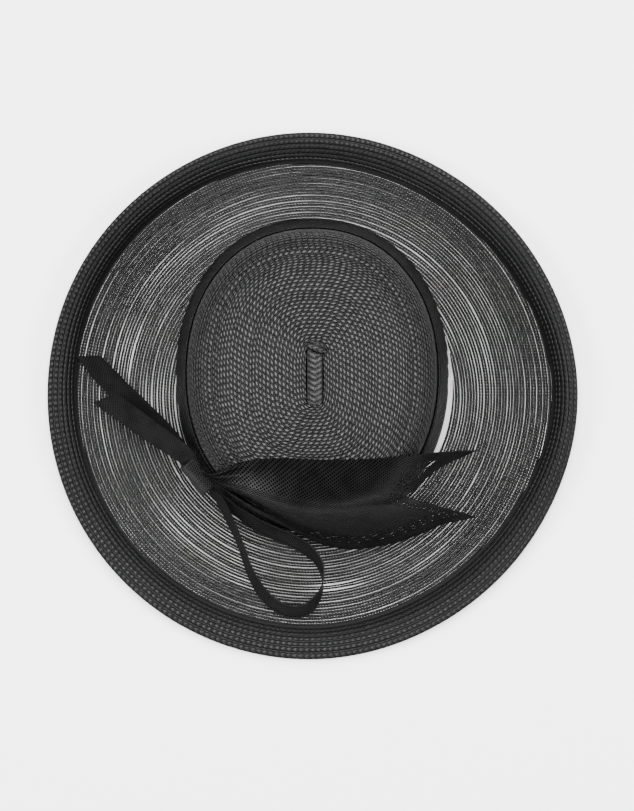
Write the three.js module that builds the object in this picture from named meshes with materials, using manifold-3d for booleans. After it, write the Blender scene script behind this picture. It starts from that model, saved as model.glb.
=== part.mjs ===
// A wide-brim dress hat with a ribbon bow, resting on a table. Millimetres, +Z up.
// The wearer faces -Y. The origin is on the table under the middle of the brim.

import * as THREE from "three";
import { mergeVertices } from "three/addons/utils/BufferGeometryUtils.js";
import Module from "manifold-3d";

// Head opening and crown
const headHalfWidth = 84.5;
const headHalfDepth = 98;
const ovalPower = 2.15;
const crownBack = 14.8;
const crownSide = 0.7;
const crownHeight = 80;
const crownWall = 1.8;
const crownFlange = 3;

// Sheer middle of the brim
const headlineHeight = 24;
const sheerWall = 1.2;
const brimDish = 1.3;
const lapWidth = 6;

// Straw band round the rim
const rimRadius = 178.6;
const rimBandWidth = 21.4;
const rimRise = 18;
const rimCurl = 0.22;
const rimWall = 1.6;

// Gap beside the crown where the first sheer row stands off the ribbon
const slotWidth = 3.4;
const slotInset = 7.5;
const slotFrom = -52;
const slotTo = 16;

// Ribbon round the foot of the crown
const hatBandHeight = 34;
const hatBandWall = 1.2;
const hatBandGap = 0.5;
const hatBandFlare = 1.4;

// Bow
const knotBearing = 221.7;
const knotHeight = 27;
const knotHalfLength = 11;
const knotHalfDepth = 5.5;
const knotHalfHeight = 11.5;
const knotSquareness = 0.8;
const ribbonWall = 1.2;
const stripWidth = 15.2;
const backTailLength = 110;
const backTailHeading = 135.4;
const frontTailLength = 82;
const frontTailHeading = 139.7;
const loopLength = 116;
const loopHeading = -53;
const fanHeight = 86;
const fanFall = 3;
const fanClear = 3.9;
const fanRoot = 9;
const fanRefine = 2;
const fanNotch = 0.3;
const fanNotchAt = 0.54;

// Clearance between neighbours
const seatGap = 0.35;

// Facets
const facetsRound = 72;
const knotFacetsRound = 16;
const knotFacetsHigh = 10;
const slotFacets = 12;
const weldDistance = 1e-4;

// The brim's outline and edge, by bearing in degrees from +X: how wide the straw band looks, how high
// it rises and how far it reaches, as shares of rimBandWidth, rimRise and rimRadius.
const brimWave = [
  { at: 0, width: 0.68, rise: 1.0, reach: 1.006 },
  { at: 30, width: 0.805, rise: 0.85, reach: 0.9985 },
  { at: 60, width: 0.935, rise: 0.62, reach: 0.995 },
  { at: 90, width: 0.89, rise: 0.58, reach: 1.0015 },
  { at: 120, width: 0.75, rise: 0.95, reach: 0.998 },
  { at: 150, width: 0.705, rise: 1.0, reach: 0.9995 },
  { at: 180, width: 0.82, rise: 0.78, reach: 0.998 },
  { at: 210, width: 0.945, rise: 0.5, reach: 1.001 },
  { at: 240, width: 0.99, rise: 0.45, reach: 1.0 },
  { at: 270, width: 1.0, rise: 0.42, reach: 0.9985 },
  { at: 300, width: 1.02, rise: 0.5, reach: 0.991 },
  { at: 330, width: 0.92, rise: 0.62, reach: 0.996 },
];

// The crown's inside from the head opening to the middle of the tip, as shares of the opening's half
// sizes and of crownHeight.
const crownProfile = [
  { out: 1.0, up: 0 },
  { out: 0.972, up: 0.2 },
  { out: 0.951, up: 0.44 },
  { out: 0.935, up: 0.68 },
  { out: 0.905, up: 0.84 },
  { out: 0.845, up: 0.94 },
  { out: 0.74, up: 0.983 },
  { out: 0.45, up: 0.998 },
  { out: 0, up: 1 },
];

// How far the sheer brim has come from the head opening to the valley, as shares of the way.
const sheerRows = [0, 0.2, 0.45, 0.7, 0.88, 1];

// Steps across the straw band, as shares of the way from its inner edge to the rim.
const rimRows = [0, 0.22, 0.45, 0.72, 1];

// Heights on the crown's ribbon from foot to top, as shares of hatBandHeight.
const hatBandRows = [0, 0.15, 0.5, 1];

// Narrow strips of the bow. along and side are shares of the strip's length from the knot, side to the
// left of its heading. lift is a share of the knot's height, roll is degrees from flat,
// width is a share of stripWidth, and skew is how far the left edge runs ahead, as a share of length.
const backTailRows = [
  { along: 0.02, side: 0, lift: 0.88, roll: 58, width: 0.7, skew: 0 },
  { along: 0.165, side: -0.012, lift: 0.68, roll: 46, width: 0.9, skew: 0 },
  { along: 0.28, side: -0.012, lift: 0.5, roll: 36, width: 1, skew: 0 },
  { along: 0.44, side: -0.005, lift: 0.33, roll: 22, width: 1, skew: 0 },
  { along: 0.61, side: 0.002, lift: 0.23, roll: 14, width: 1, skew: 0 },
  { along: 0.78, side: 0.005, lift: 0.16, roll: 10, width: 1, skew: 0 },
  { along: 1.01, side: -0.01, lift: 0.12, roll: 6, width: 0.88, skew: 0.049 },
];

const frontTailRows = [
  { along: 0.02, side: 0, lift: 1.1, roll: 50, width: 0.75, skew: 0 },
  { along: 0.14, side: -0.034, lift: 1.0, roll: 40, width: 0.95, skew: 0 },
  { along: 0.295, side: -0.026, lift: 0.88, roll: 30, width: 1, skew: 0 },
  { along: 0.5, side: 0, lift: 0.72, roll: 22, width: 1, skew: 0 },
  { along: 0.71, side: 0.022, lift: 0.56, roll: 16, width: 1, skew: 0 },
  { along: 1.01, side: 0.053, lift: 0.36, roll: 10, width: 0.97, skew: 0.058 },
];

const loopRows = [
  { along: 0.05, side: -0.005, lift: 0.84, roll: -62, width: 0.6, skew: 0 },
  { along: 0.2, side: -0.01, lift: 0.7, roll: -62, width: 0.8, skew: 0 },
  { along: 0.336, side: -0.04, lift: 0.58, roll: -68, width: 0.95, skew: 0 },
  { along: 0.468, side: -0.073, lift: 0.48, roll: -72, width: 1, skew: 0 },
  { along: 0.59, side: -0.115, lift: 0.4, roll: -70, width: 1, skew: 0 },
  { along: 0.7, side: -0.14, lift: 0.33, roll: -64, width: 1, skew: 0 },
  { along: 0.8, side: -0.144, lift: 0.28, roll: -58, width: 1, skew: 0 },
  { along: 0.904, side: -0.119, lift: 0.25, roll: -54, width: 1, skew: 0 },
  { along: 0.972, side: -0.068, lift: 0.24, roll: -53, width: 1, skew: 0 },
  { along: 1.004, side: 0.003, lift: 0.24, roll: -56, width: 1, skew: 0 },
  { along: 0.994, side: 0.069, lift: 0.25, roll: -66, width: 1, skew: 0 },
  { along: 0.963, side: 0.136, lift: 0.27, roll: -80, width: 1, skew: 0 },
  { along: 0.905, side: 0.192, lift: 0.3, roll: -96, width: 1, skew: 0 },
  { along: 0.82, side: 0.226, lift: 0.36, roll: -112, width: 1, skew: 0 },
  { along: 0.72, side: 0.217, lift: 0.44, roll: -124, width: 1, skew: 0 },
  { along: 0.62, side: 0.175, lift: 0.5, roll: -128, width: 1, skew: 0 },
  { along: 0.525, side: 0.122, lift: 0.54, roll: -128, width: 1, skew: 0 },
  { along: 0.43, side: 0.074, lift: 0.58, roll: -126, width: 1, skew: 0 },
  { along: 0.29, side: 0.03, lift: 0.64, roll: -118, width: 0.9, skew: 0 },
  { along: 0.13, side: 0.008, lift: 0.74, roll: -100, width: 0.7, skew: 0 },
  { along: 0.04, side: 0, lift: 0.84, roll: -90, width: 0.5, skew: 0 },
];

// The wide end of the bow. Its upper and lower edges from beside the knot to the two tips: across and
// back are shares of the head opening's half sizes from the crown's axis, high a share of fanHeight over
// the headline.
const fanUpperEdge = [
  { across: -0.73, back: -0.655, high: 0.62 },
  { across: -0.58, back: -0.6, high: 0.84 },
  { across: -0.43, back: -0.562, high: 0.95 },
  { across: -0.2, back: -0.553, high: 0.98 },
  { across: 0.1, back: -0.562, high: 0.99 },
  { across: 0.4, back: -0.558, high: 0.97 },
  { across: 0.69, back: -0.54, high: 0.86 },
  { across: 0.95, back: -0.522, high: 0.68 },
  { across: 1.282, back: -0.509, high: 0.48 },
];

const fanLowerEdge = [
  { across: -0.69, back: -0.755, high: 0.4 },
  { across: -0.48, back: -0.87, high: 0.34 },
  { across: -0.24, back: -1.0, high: 0.26 },
  { across: 0.02, back: -1.13, high: 0.17 },
  { across: 0.3, back: -1.185, high: 0.1 },
  { across: 0.62, back: -1.15, high: 0.08 },
  { across: 0.85, back: -1.08, high: 0.12 },
  { across: 1.05, back: -1.01, high: 0.16 },
  { across: 1.287, back: -0.968, high: 0.2 },
];

// Steps across the wide end from its upper edge to its lower edge, as shares of its width.
const fanColumns = [0, 0.14, 0.28, 0.4, 0.47, fanNotchAt, 0.61, 0.7, 0.84, 1];

const wasm = await Module();
wasm.setup();

function catmull(a, b, c, d, t) {
  const slopeIn = (c - a) / 2;
  const slopeOut = (d - b) / 2;
  const rest = b - c;
  return ((2 * rest + slopeIn + slopeOut) * t - 3 * rest - 2 * slopeIn - slopeOut) * t * t + slopeIn * t + b;
}

// The value of one brimWave column at a bearing in radians, smooth all the way round.
function waveAt(column, bearing) {
  const count = brimWave.length;
  const turn = THREE.MathUtils.euclideanModulo(bearing / (2 * Math.PI), 1) * count;
  const row = Math.floor(turn);
  const values = [-1, 0, 1, 2].map((step) => brimWave[(row + step + count) % count][column]);
  return catmull(...values, turn - row);
}

function rimRadiusAt(bearing) {
  return rimRadius * waveAt("reach", bearing);
}

function valleyRadiusAt(bearing) {
  return rimRadiusAt(bearing) - rimBandWidth * waveAt("width", bearing);
}

function lapRadiusAt(bearing) {
  return valleyRadiusAt(bearing) + lapWidth;
}

// Distance in plan from the crown's axis to an oval round it.
function ovalRadius(bearing, halfWidth, halfDepth) {
  const wide = (Math.abs(Math.cos(bearing)) / halfWidth) ** ovalPower;
  const deep = (Math.abs(Math.sin(bearing)) / halfDepth) ** ovalPower;
  return (wide + deep) ** (-1 / ovalPower);
}

// Distance in plan from the crown's axis to an outline that is given by its radius about the origin.
function reachTo(radiusAt, bearing) {
  const along = crownSide * Math.cos(bearing) + crownBack * Math.sin(bearing);
  const offset = crownSide ** 2 + crownBack ** 2;
  let distance = rimRadius;
  for (let pass = 0; pass < 4; pass += 1) {
    const point = planPoint(bearing, distance, 0);
    const radius = radiusAt(Math.atan2(point.y, point.x));
    distance = Math.sqrt(along ** 2 - offset + radius ** 2) - along;
  }
  return distance;
}

function planPoint(bearing, distance, z) {
  return new THREE.Vector3(
    crownSide + distance * Math.cos(bearing),
    crownBack + distance * Math.sin(bearing),
    z,
  );
}

// Height of the sheer brim's upper side.
function sheerTop(bearing, distance) {
  const inner = ovalRadius(bearing, headHalfWidth, headHalfDepth);
  const outer = reachTo(valleyRadiusAt, bearing);
  const way = THREE.MathUtils.clamp((distance - inner) / (outer - inner), 0, 1);
  return sheerWall + (headlineHeight - sheerWall) * (1 - way) ** brimDish;
}

// The crown's inside, as a share of the opening's half sizes, at a share of its height.
function crownOutAt(up) {
  const next = crownProfile.findIndex((row) => row.up >= up);
  if (next <= 0) return crownProfile[0].out;
  const below = crownProfile[next - 1];
  const above = crownProfile[next];
  const part = (up - below.up) / (above.up - below.up);
  return THREE.MathUtils.lerp(below.out, above.out, part);
}

// Each profile below is the cut through one piece at a bearing: points of distance from the crown's
// axis and height.

// The crown: outside from tip to foot, the turned-out flange, then the inside back up to the tip.
function crownCut(bearing) {
  const meanHalf = (headHalfWidth + headHalfDepth) / 2;
  const foot = headlineHeight + seatGap;
  const at = (out, up, wallOut, wallUp) => {
    const distance = ovalRadius(bearing, out * headHalfWidth + wallOut, out * headHalfDepth + wallOut);
    return new THREE.Vector2(out > 0 ? distance : 0, foot + up * crownHeight + wallUp);
  };
  const last = crownProfile.length - 1;
  const outside = crownProfile.map((row, i) => {
    const before = crownProfile[Math.max(i - 1, 0)];
    const after = crownProfile[Math.min(i + 1, last)];
    const rise = (after.up - before.up) * crownHeight;
    const run = (before.out - after.out) * meanHalf;
    const length = Math.hypot(rise, run);
    return at(row.out, row.up, (crownWall * rise) / length, (crownWall * run) / length);
  });
  outside[last] = at(0, 1, 0, crownWall);
  outside[0] = at(1, 0, crownWall, crownWall);
  const inside = crownProfile.map((row) => at(row.out, row.up, 0, 0));
  const edge = ovalRadius(bearing, headHalfWidth, headHalfDepth) + crownWall + crownFlange;
  const edgeFoot = sheerTop(bearing, edge) + seatGap;
  const flange = [new THREE.Vector2(edge, edgeFoot + crownWall), new THREE.Vector2(edge, edgeFoot)];
  return [...outside.toReversed(), ...flange, ...inside];
}

// The sheer brim: upper side from the head opening to the lap under the straw band, then the underside
// back. The lap is flat and is what the hat rests on.
function sheerCut(bearing) {
  const inner = ovalRadius(bearing, headHalfWidth, headHalfDepth);
  const outer = reachTo(valleyRadiusAt, bearing);
  const lap = reachTo(lapRadiusAt, bearing);
  const upper = sheerRows.map((way) => {
    const distance = THREE.MathUtils.lerp(inner, outer, way);
    return new THREE.Vector2(distance, sheerTop(bearing, distance));
  });
  upper.push(new THREE.Vector2(lap, sheerWall));
  const lower = upper.map((point) => new THREE.Vector2(point.x, point.y - sheerWall));
  return [...upper, ...lower.toReversed()];
}

// The straw band: its underside climbs from the lap and turns outward into the rim, and its upper side
// is one wall away.
function rimCut(bearing) {
  const inner = reachTo(valleyRadiusAt, bearing);
  const outer = reachTo(rimRadiusAt, bearing);
  const rim = planPoint(bearing, outer, 0);
  const rise = rimRise * waveAt("rise", Math.atan2(rim.y, rim.x));
  const foot = sheerWall + seatGap;
  const start = new THREE.Vector2(inner, foot);
  const turn = new THREE.Vector2(THREE.MathUtils.lerp(inner, outer, rimCurl), foot + rise);
  const end = new THREE.Vector2(outer, foot + rise);
  const curve = new THREE.QuadraticBezierCurve(start, turn, end);
  const lower = rimRows.map((way) => curve.getPoint(way));
  const upper = rimRows.map((way, row) => {
    const tangent = curve.getTangent(way);
    return new THREE.Vector2(lower[row].x - rimWall * tangent.y, lower[row].y + rimWall * tangent.x);
  });
  return [...lower, ...upper.toReversed()];
}

// Distance of the crown's ribbon at a share of its height, with its wall or without.
function hatBandDistance(bearing, up, wall) {
  const out = crownOutAt((up * hatBandHeight) / crownHeight);
  const flare = (crownFlange + seatGap) * (1 - up) ** hatBandFlare;
  const beyond = crownWall + hatBandGap + flare + wall;
  return ovalRadius(bearing, out * headHalfWidth + beyond, out * headHalfDepth + beyond);
}

// The ribbon round the crown: inside from foot to top, then outside back down.
function hatBandCut(bearing) {
  const foot = sheerTop(bearing, hatBandDistance(bearing, 0, 0)) + seatGap;
  const top = headlineHeight + hatBandHeight;
  const side = (wall) =>
    hatBandRows.map((up) => {
      const distance = hatBandDistance(bearing, up, wall);
      return new THREE.Vector2(distance, THREE.MathUtils.lerp(foot, top, up));
    });
  return [...side(0), ...side(hatBandWall).toReversed()];
}

// Height of the top of one cut at a distance, or nothing below 0 where the cut doesn't reach.
function topOfCut(cut, distance) {
  let top = 0;
  cut.forEach((point, i) => {
    const next = cut[(i + 1) % cut.length];
    const part = (distance - point.x) / (next.x - point.x);
    if (part >= 0 && part <= 1) top = Math.max(top, THREE.MathUtils.lerp(point.y, next.y, part));
  });
  return top;
}

// Height of what lies under a point of the bow, with the hat's walls moved sideways by a clearance.
function heldAt(point, clearance) {
  const dx = point.x - crownSide;
  const dy = point.y - crownBack;
  const bearing = Math.atan2(dy, dx);
  const distance = Math.hypot(dx, dy);
  const cuts = [crownCut, hatBandCut, sheerCut, rimCut].map((cutAt) => cutAt(bearing));
  const tops = cuts.map((cut) => Math.max(topOfCut(cut, distance), topOfCut(cut, distance - clearance)));
  return Math.max(...tops) + clearance;
}

// Adds the two triangles of a four-cornered face, leaving out one that has shrunk to a line.
function addFace(corners, a, b, c, d) {
  for (const face of [[a, b, c], [a, c, d]]) {
    const sides = face.map((point, side) => point.distanceTo(face[(side + 1) % 3]));
    if (Math.min(...sides) > weldDistance) corners.push(...face);
  }
}

function weld(geometry) {
  geometry.deleteAttribute("normal");
  geometry.deleteAttribute("uv");
  return mergeVertices(geometry, weldDistance);
}

// A closed mesh from loose triangles, turned so that its faces point out.
function closedMesh(corners) {
  let volume = 0;
  for (let first = 0; first < corners.length; first += 3) {
    const [a, b, c] = corners.slice(first, first + 3);
    volume += a.dot(b.clone().cross(c));
  }
  const facingOut = volume > 0 ? corners : corners.toReversed();
  return weld(new THREE.BufferGeometry().setFromPoints(facingOut));
}

// A solid that runs all the way round the crown's axis. cutAt gives the closed cut at a bearing, or with
// poles a cut whose two ends lie on the axis.
function roundSolid(cutAt, poles = false) {
  const sections = [];
  for (let step = 0; step < facetsRound; step += 1) {
    const bearing = (step / facetsRound) * 2 * Math.PI;
    sections.push(cutAt(bearing).map((point) => planPoint(bearing, point.x, point.y)));
  }
  const corners = [];
  sections.forEach((here, step) => {
    const there = sections[(step + 1) % facetsRound];
    const spans = poles ? here.length - 1 : here.length;
    for (let row = 0; row < spans; row += 1) {
      const next = (row + 1) % here.length;
      addFace(corners, here[row], here[next], there[next], there[row]);
    }
  });
  return closedMesh(corners);
}

// Normals of an open grid of points, by the differences between neighbours.
function gridNormals(grid) {
  const last = grid.length - 1;
  return grid.map((line, i) =>
    line.map((point, j) => {
      const before = grid[Math.max(i - 1, 0)][j];
      const after = grid[Math.min(i + 1, last)][j];
      const left = line[Math.max(j - 1, 0)];
      const right = line[Math.min(j + 1, line.length - 1)];
      const along = after.clone().sub(before);
      const across = right.clone().sub(left);
      return along.cross(across).normalize();
    }),
  );
}

// A sheet of ribbon with a wall, from a grid of points through its middle.
function sheetSolid(grid, wall) {
  const normals = gridNormals(grid);
  const shift = (sign) =>
    grid.map((line, i) =>
      line.map((point, j) => point.clone().addScaledVector(normals[i][j], (sign * wall) / 2)),
    );
  const upper = shift(1);
  const lower = shift(-1);
  const loops = grid.map((line, i) => [...upper[i], ...lower[i].toReversed()]);
  const corners = [];
  for (let i = 0; i + 1 < loops.length; i += 1) {
    const here = loops[i];
    const there = loops[i + 1];
    for (let j = 0; j < here.length; j += 1) {
      const next = (j + 1) % here.length;
      addFace(corners, here[j], here[next], there[next], there[j]);
    }
  }
  for (let j = 0; j + 1 < grid[0].length; j += 1) {
    const end = loops.length - 1;
    addFace(corners, upper[0][j], lower[0][j], lower[0][j + 1], upper[0][j + 1]);
    addFace(corners, upper[end][j], upper[end][j + 1], lower[end][j + 1], lower[end][j]);
  }
  return closedMesh(corners);
}

function toManifold(geometry) {
  return new wasm.Manifold(
    new wasm.Mesh({
      numProp: 3,
      vertProperties: new Float32Array(geometry.attributes.position.array),
      triVerts: new Uint32Array(geometry.index.array),
    }),
  );
}

function cutAway(geometry, cutter) {
  const result = toManifold(geometry).subtract(toManifold(cutter)).getMesh();
  const cut = new THREE.BufferGeometry();
  cut.setAttribute("position", new THREE.BufferAttribute(result.vertProperties, 3));
  cut.setIndex(new THREE.BufferAttribute(result.triVerts, 1));
  return cut;
}

// The knot stands against the outside of the crown's ribbon, which is widest at the knot's lower half.
function knotCentre() {
  const bearing = THREE.MathUtils.degToRad(knotBearing);
  const touch = (knotHeight - knotHalfHeight / 2) / hatBandHeight;
  const distance = hatBandDistance(bearing, touch, hatBandWall) + seatGap + knotHalfDepth;
  return planPoint(bearing, distance, headlineHeight + knotHeight);
}

function knotSolid(margin) {
  const geometry = new THREE.SphereGeometry(1, knotFacetsRound, knotFacetsHigh);
  const position = geometry.attributes.position;
  const soften = (value) => Math.sign(value) * Math.abs(value) ** knotSquareness;
  for (let i = 0; i < position.count; i += 1) {
    position.setXYZ(i, position.getX(i), soften(position.getY(i)), soften(position.getZ(i)));
  }
  geometry.rotateX(Math.PI / 2);
  geometry.scale(knotHalfDepth + margin, knotHalfLength + margin, knotHalfHeight + margin);
  geometry.rotateZ(THREE.MathUtils.degToRad(knotBearing));
  const centre = knotCentre();
  geometry.translate(centre.x, centre.y, centre.z);
  return weld(geometry);
}

// A narrow strip of ribbon that leaves the knot along a heading.
function stripSolid(rows, length, heading) {
  const knot = knotCentre();
  const angle = THREE.MathUtils.degToRad(heading);
  const ahead = new THREE.Vector3(Math.cos(angle), Math.sin(angle), 0);
  const left = new THREE.Vector3(-Math.sin(angle), Math.cos(angle), 0);
  const centres = rows.map((row) =>
    new THREE.Vector3(knot.x, knot.y, 0)
      .addScaledVector(ahead, row.along * length)
      .addScaledVector(left, row.side * length),
  );
  const grid = rows.map((row, i) => {
    const before = centres[Math.max(i - 1, 0)];
    const after = centres[Math.min(i + 1, rows.length - 1)];
    const forward = after.clone().sub(before).normalize();
    const roll = THREE.MathUtils.degToRad(row.roll);
    const half = (row.width * stripWidth) / 2;
    const sideways = new THREE.Vector3(-forward.y, forward.x, 0).multiplyScalar(Math.cos(roll) * half);
    sideways.z = -Math.sin(roll) * half;
    const skew = row.skew * length;
    const edges = [-1, 0, 1].map((edge) =>
      new THREE.Vector3()
        .addScaledVector(sideways, edge)
        .addScaledVector(forward, edge * skew)
        .add(centres[i]),
    );
    const held = edges.map((point) => heldAt(point, seatGap + ribbonWall) - point.z);
    const height = Math.max(row.lift * knot.z, ...held);
    return edges.map((point) => point.setZ(point.z + height));
  });
  return sheetSolid(grid, ribbonWall);
}

// The wide end of the bow: it leaves the knot gathered, spreads over the front of the crown and ends in
// two tips with a notch between them.
function fanSolid() {
  const edgeCurve = (rows, rootHeight) => {
    const root = knotCentre();
    root.z += rootHeight;
    const points = rows.map(
      (row) =>
        new THREE.Vector3(
          crownSide + row.across * headHalfWidth,
          crownBack + row.back * headHalfDepth,
          headlineHeight + row.high * fanHeight,
        ),
    );
    return new THREE.CatmullRomCurve3([root, ...points]);
  };
  const upper = edgeCurve(fanUpperEdge, fanRoot / 2);
  const lower = edgeCurve(fanLowerEdge, -fanRoot / 2);
  const steps = fanUpperEdge.length * fanRefine;
  const grid = [];
  for (let step = 0; step <= steps; step += 1) {
    grid.push(
      fanColumns.map((column) => {
        const side = column < fanNotchAt ? fanNotchAt : 1 - fanNotchAt;
        const reach = 1 - fanNotch * (1 - Math.abs(column - fanNotchAt) / side);
        const way = (step / steps) * reach;
        const top = upper.getPoint(way);
        const bottom = lower.getPoint(way);
        const point = top.clone().lerp(bottom, column);
        const fallen = THREE.MathUtils.lerp(top.z, bottom.z, column ** fanFall);
        return point.setZ(Math.max(fallen, heldAt(point, fanClear)));
      }),
    );
  }
  return sheetSolid(grid, ribbonWall);
}

// A crescent-shaped cutter beside the right-hand side of the crown.
function slotCutter() {
  const from = THREE.MathUtils.degToRad(slotFrom);
  const to = THREE.MathUtils.degToRad(slotTo);
  const edge = (side) => {
    const points = [];
    for (let step = 0; step <= slotFacets; step += 1) {
      const way = step / slotFacets;
      const bearing = THREE.MathUtils.lerp(from, to, way);
      const inner = ovalRadius(bearing, headHalfWidth + slotInset, headHalfDepth + slotInset);
      const distance = inner + side * slotWidth * Math.sin(Math.PI * way);
      const point = planPoint(bearing, distance, 0);
      points.push(new THREE.Vector2(point.x, point.y));
    }
    return points;
  };
  const outline = [...edge(0), ...edge(1).slice(1, -1).toReversed()];
  const depth = headlineHeight * 2;
  const geometry = new THREE.ExtrudeGeometry(new THREE.Shape(outline), { depth, bevelEnabled: false });
  geometry.translate(0, 0, -headlineHeight / 2);
  return weld(geometry);
}

const hat = new THREE.Group();

function addPiece(name, geometry, color, roughness) {
  const material = new THREE.MeshStandardMaterial({ color, roughness, metalness: 0 });
  geometry.computeVertexNormals();
  const piece = new THREE.Mesh(geometry, material);
  piece.name = name;
  hat.add(piece);
}

const knotCutter = knotSolid(seatGap);
const strip = (rows, length, heading) => cutAway(stripSolid(rows, length, heading), knotCutter);

addPiece("crown", roundSolid(crownCut, true), 0x2c2b2d, 0.45);
addPiece("sheer_brim", cutAway(roundSolid(sheerCut), slotCutter()), 0x4a494b, 0.5);
addPiece("rim_band", roundSolid(rimCut), 0x2c2b2d, 0.45);
addPiece("hat_band", roundSolid(hatBandCut), 0x1d1c1f, 0.6);
addPiece("bow_knot", knotSolid(0), 0x1d1c1f, 0.6);
addPiece("bow_tail_back", strip(backTailRows, backTailLength, backTailHeading), 0x1d1c1f, 0.6);
addPiece("bow_tail_front", strip(frontTailRows, frontTailLength, frontTailHeading), 0x1d1c1f, 0.6);
addPiece("bow_loop", strip(loopRows, loopLength, loopHeading), 0x1d1c1f, 0.6);
addPiece("bow_fan", cutAway(fanSolid(), knotCutter), 0x1d1c1f, 0.6);

export default hat;
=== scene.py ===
import math

import bmesh
import bpy
import numpy as np
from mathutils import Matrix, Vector


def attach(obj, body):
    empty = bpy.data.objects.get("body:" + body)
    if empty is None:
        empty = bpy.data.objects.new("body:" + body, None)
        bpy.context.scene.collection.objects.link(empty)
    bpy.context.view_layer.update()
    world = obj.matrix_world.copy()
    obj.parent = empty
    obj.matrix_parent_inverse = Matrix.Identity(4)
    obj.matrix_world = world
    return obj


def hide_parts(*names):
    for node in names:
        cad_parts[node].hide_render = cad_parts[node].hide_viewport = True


# A wide-brim dress hat with a ribbon bow, seen from straight above. Metres, +Z up. The wearer faces -Y.
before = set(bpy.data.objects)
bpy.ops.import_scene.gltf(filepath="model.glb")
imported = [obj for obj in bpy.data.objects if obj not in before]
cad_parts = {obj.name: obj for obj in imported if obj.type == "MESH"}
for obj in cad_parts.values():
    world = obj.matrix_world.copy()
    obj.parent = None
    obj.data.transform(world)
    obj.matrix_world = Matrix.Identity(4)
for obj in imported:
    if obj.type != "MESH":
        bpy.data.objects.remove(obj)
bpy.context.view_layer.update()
TAU = 2 * math.pi

# The hat's sizes, as the solids have them
HEAD_HALF_WIDTH = 0.0845
HEAD_HALF_DEPTH = 0.098
HEAD_HALF_MEAN = (HEAD_HALF_WIDTH + HEAD_HALF_DEPTH) / 2
OVAL_POWER = 2.15
CROWN_BACK = 0.0148
CROWN_SIDE = 0.0007
CROWN_HEIGHT = 0.08
CROWN_WALL = 0.0018
CROWN_FLANGE = 0.003
HEADLINE_HEIGHT = 0.024
SHEER_WALL = 0.0012
BRIM_DISH = 1.3
LAP_WIDTH = 0.006
RIM_RADIUS = 0.1786
RIM_BAND_WIDTH = 0.0214
RIM_RISE = 0.018
RIM_CURL = 0.22
RIM_WALL = 0.0016
SLOT_WIDTH = 0.0034
SLOT_INSET = 0.0075
SLOT_FROM = -52
SLOT_TO = 16
HAT_BAND_HEIGHT = 0.034
HAT_BAND_WALL = 0.0012
HAT_BAND_GAP = 0.0005
HAT_BAND_FLARE = 1.4
KNOT_BEARING = 221.7
KNOT_HEIGHT = 0.027
KNOT_HALF_DEPTH = 0.0055
KNOT_HALF_HEIGHT = 0.0115
RIBBON_WALL = 0.0012
STRIP_WIDTH = 0.0152
BACK_TAIL = {"length": 0.110, "heading": 135.4}
FRONT_TAIL = {"length": 0.082, "heading": 139.7}
LOOP = {"length": 0.116, "heading": -53}
FAN_HEIGHT = 0.086
FAN_FALL = 3
FAN_CLEAR = 0.0039
FAN_ROOT = 0.009
SEAT_GAP = 0.00035

# The notch in the wide end's cut: depth as a share of the length, and place across
FAN_NOTCH = 0.247
FAN_NOTCH_AT = 0.48

# Rounds of the searches for a radius, and levels at which the crown ribbon's reach is read
REACH_ROUNDS = 4
EDGE_ROUNDS = 12
HAT_BAND_LEVELS = 7

# Camera: straight above, with the photograph's field of view
CAMERA_AT = (0.00392, -0.00601, 1.5)
CAMERA_SENSOR = 36
CAMERA_LENS = 97.49
CAMERA_CLIP = (0.01, 100)

# Pale floor and soft lamps: (name, place, size, power)
FLOOR_HALF = 8.0
FLOOR_SHADE = 0.94
FLOOR_ROUGHNESS = 0.9
FLOOR_GLOSS = 0.1
LAMP_AIM = (0, 0, 0.03)
LAMPS = (
    ("back", (0.1, 0.95, 1.9), 0.9, 44),
    ("left", (-1.2, -0.1, 1.6), 0.9, 60),
    ("right", (1.25, -0.1, 1.6), 0.9, 52),
    ("top", (0.0, 0.3, 2.8), 1.4, 172),
)
WORLD_LIGHT = 0.5

# The brim's edge by bearing: width of the straw band, its rise and its reach
BRIM_WAVE = {
    "width": (0.68, 0.805, 0.935, 0.89, 0.75, 0.705, 0.82, 0.945, 0.99, 1.0, 1.02, 0.92),
    "rise": (1.0, 0.85, 0.62, 0.58, 0.95, 1.0, 0.78, 0.5, 0.45, 0.42, 0.5, 0.62),
    "reach": (1.006, 0.9985, 0.995, 1.0015, 0.998, 0.9995, 0.998, 1.001, 1.0, 0.9985, 0.991, 0.996),
}

# The crown's inside from the head opening to the middle of the tip: (out, up)
CROWN_PROFILE = (
    (1.0, 0),
    (0.972, 0.2),
    (0.951, 0.44),
    (0.935, 0.68),
    (0.905, 0.84),
    (0.845, 0.94),
    (0.74, 0.983),
    (0.45, 0.998),
    (0, 1),
)

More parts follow.
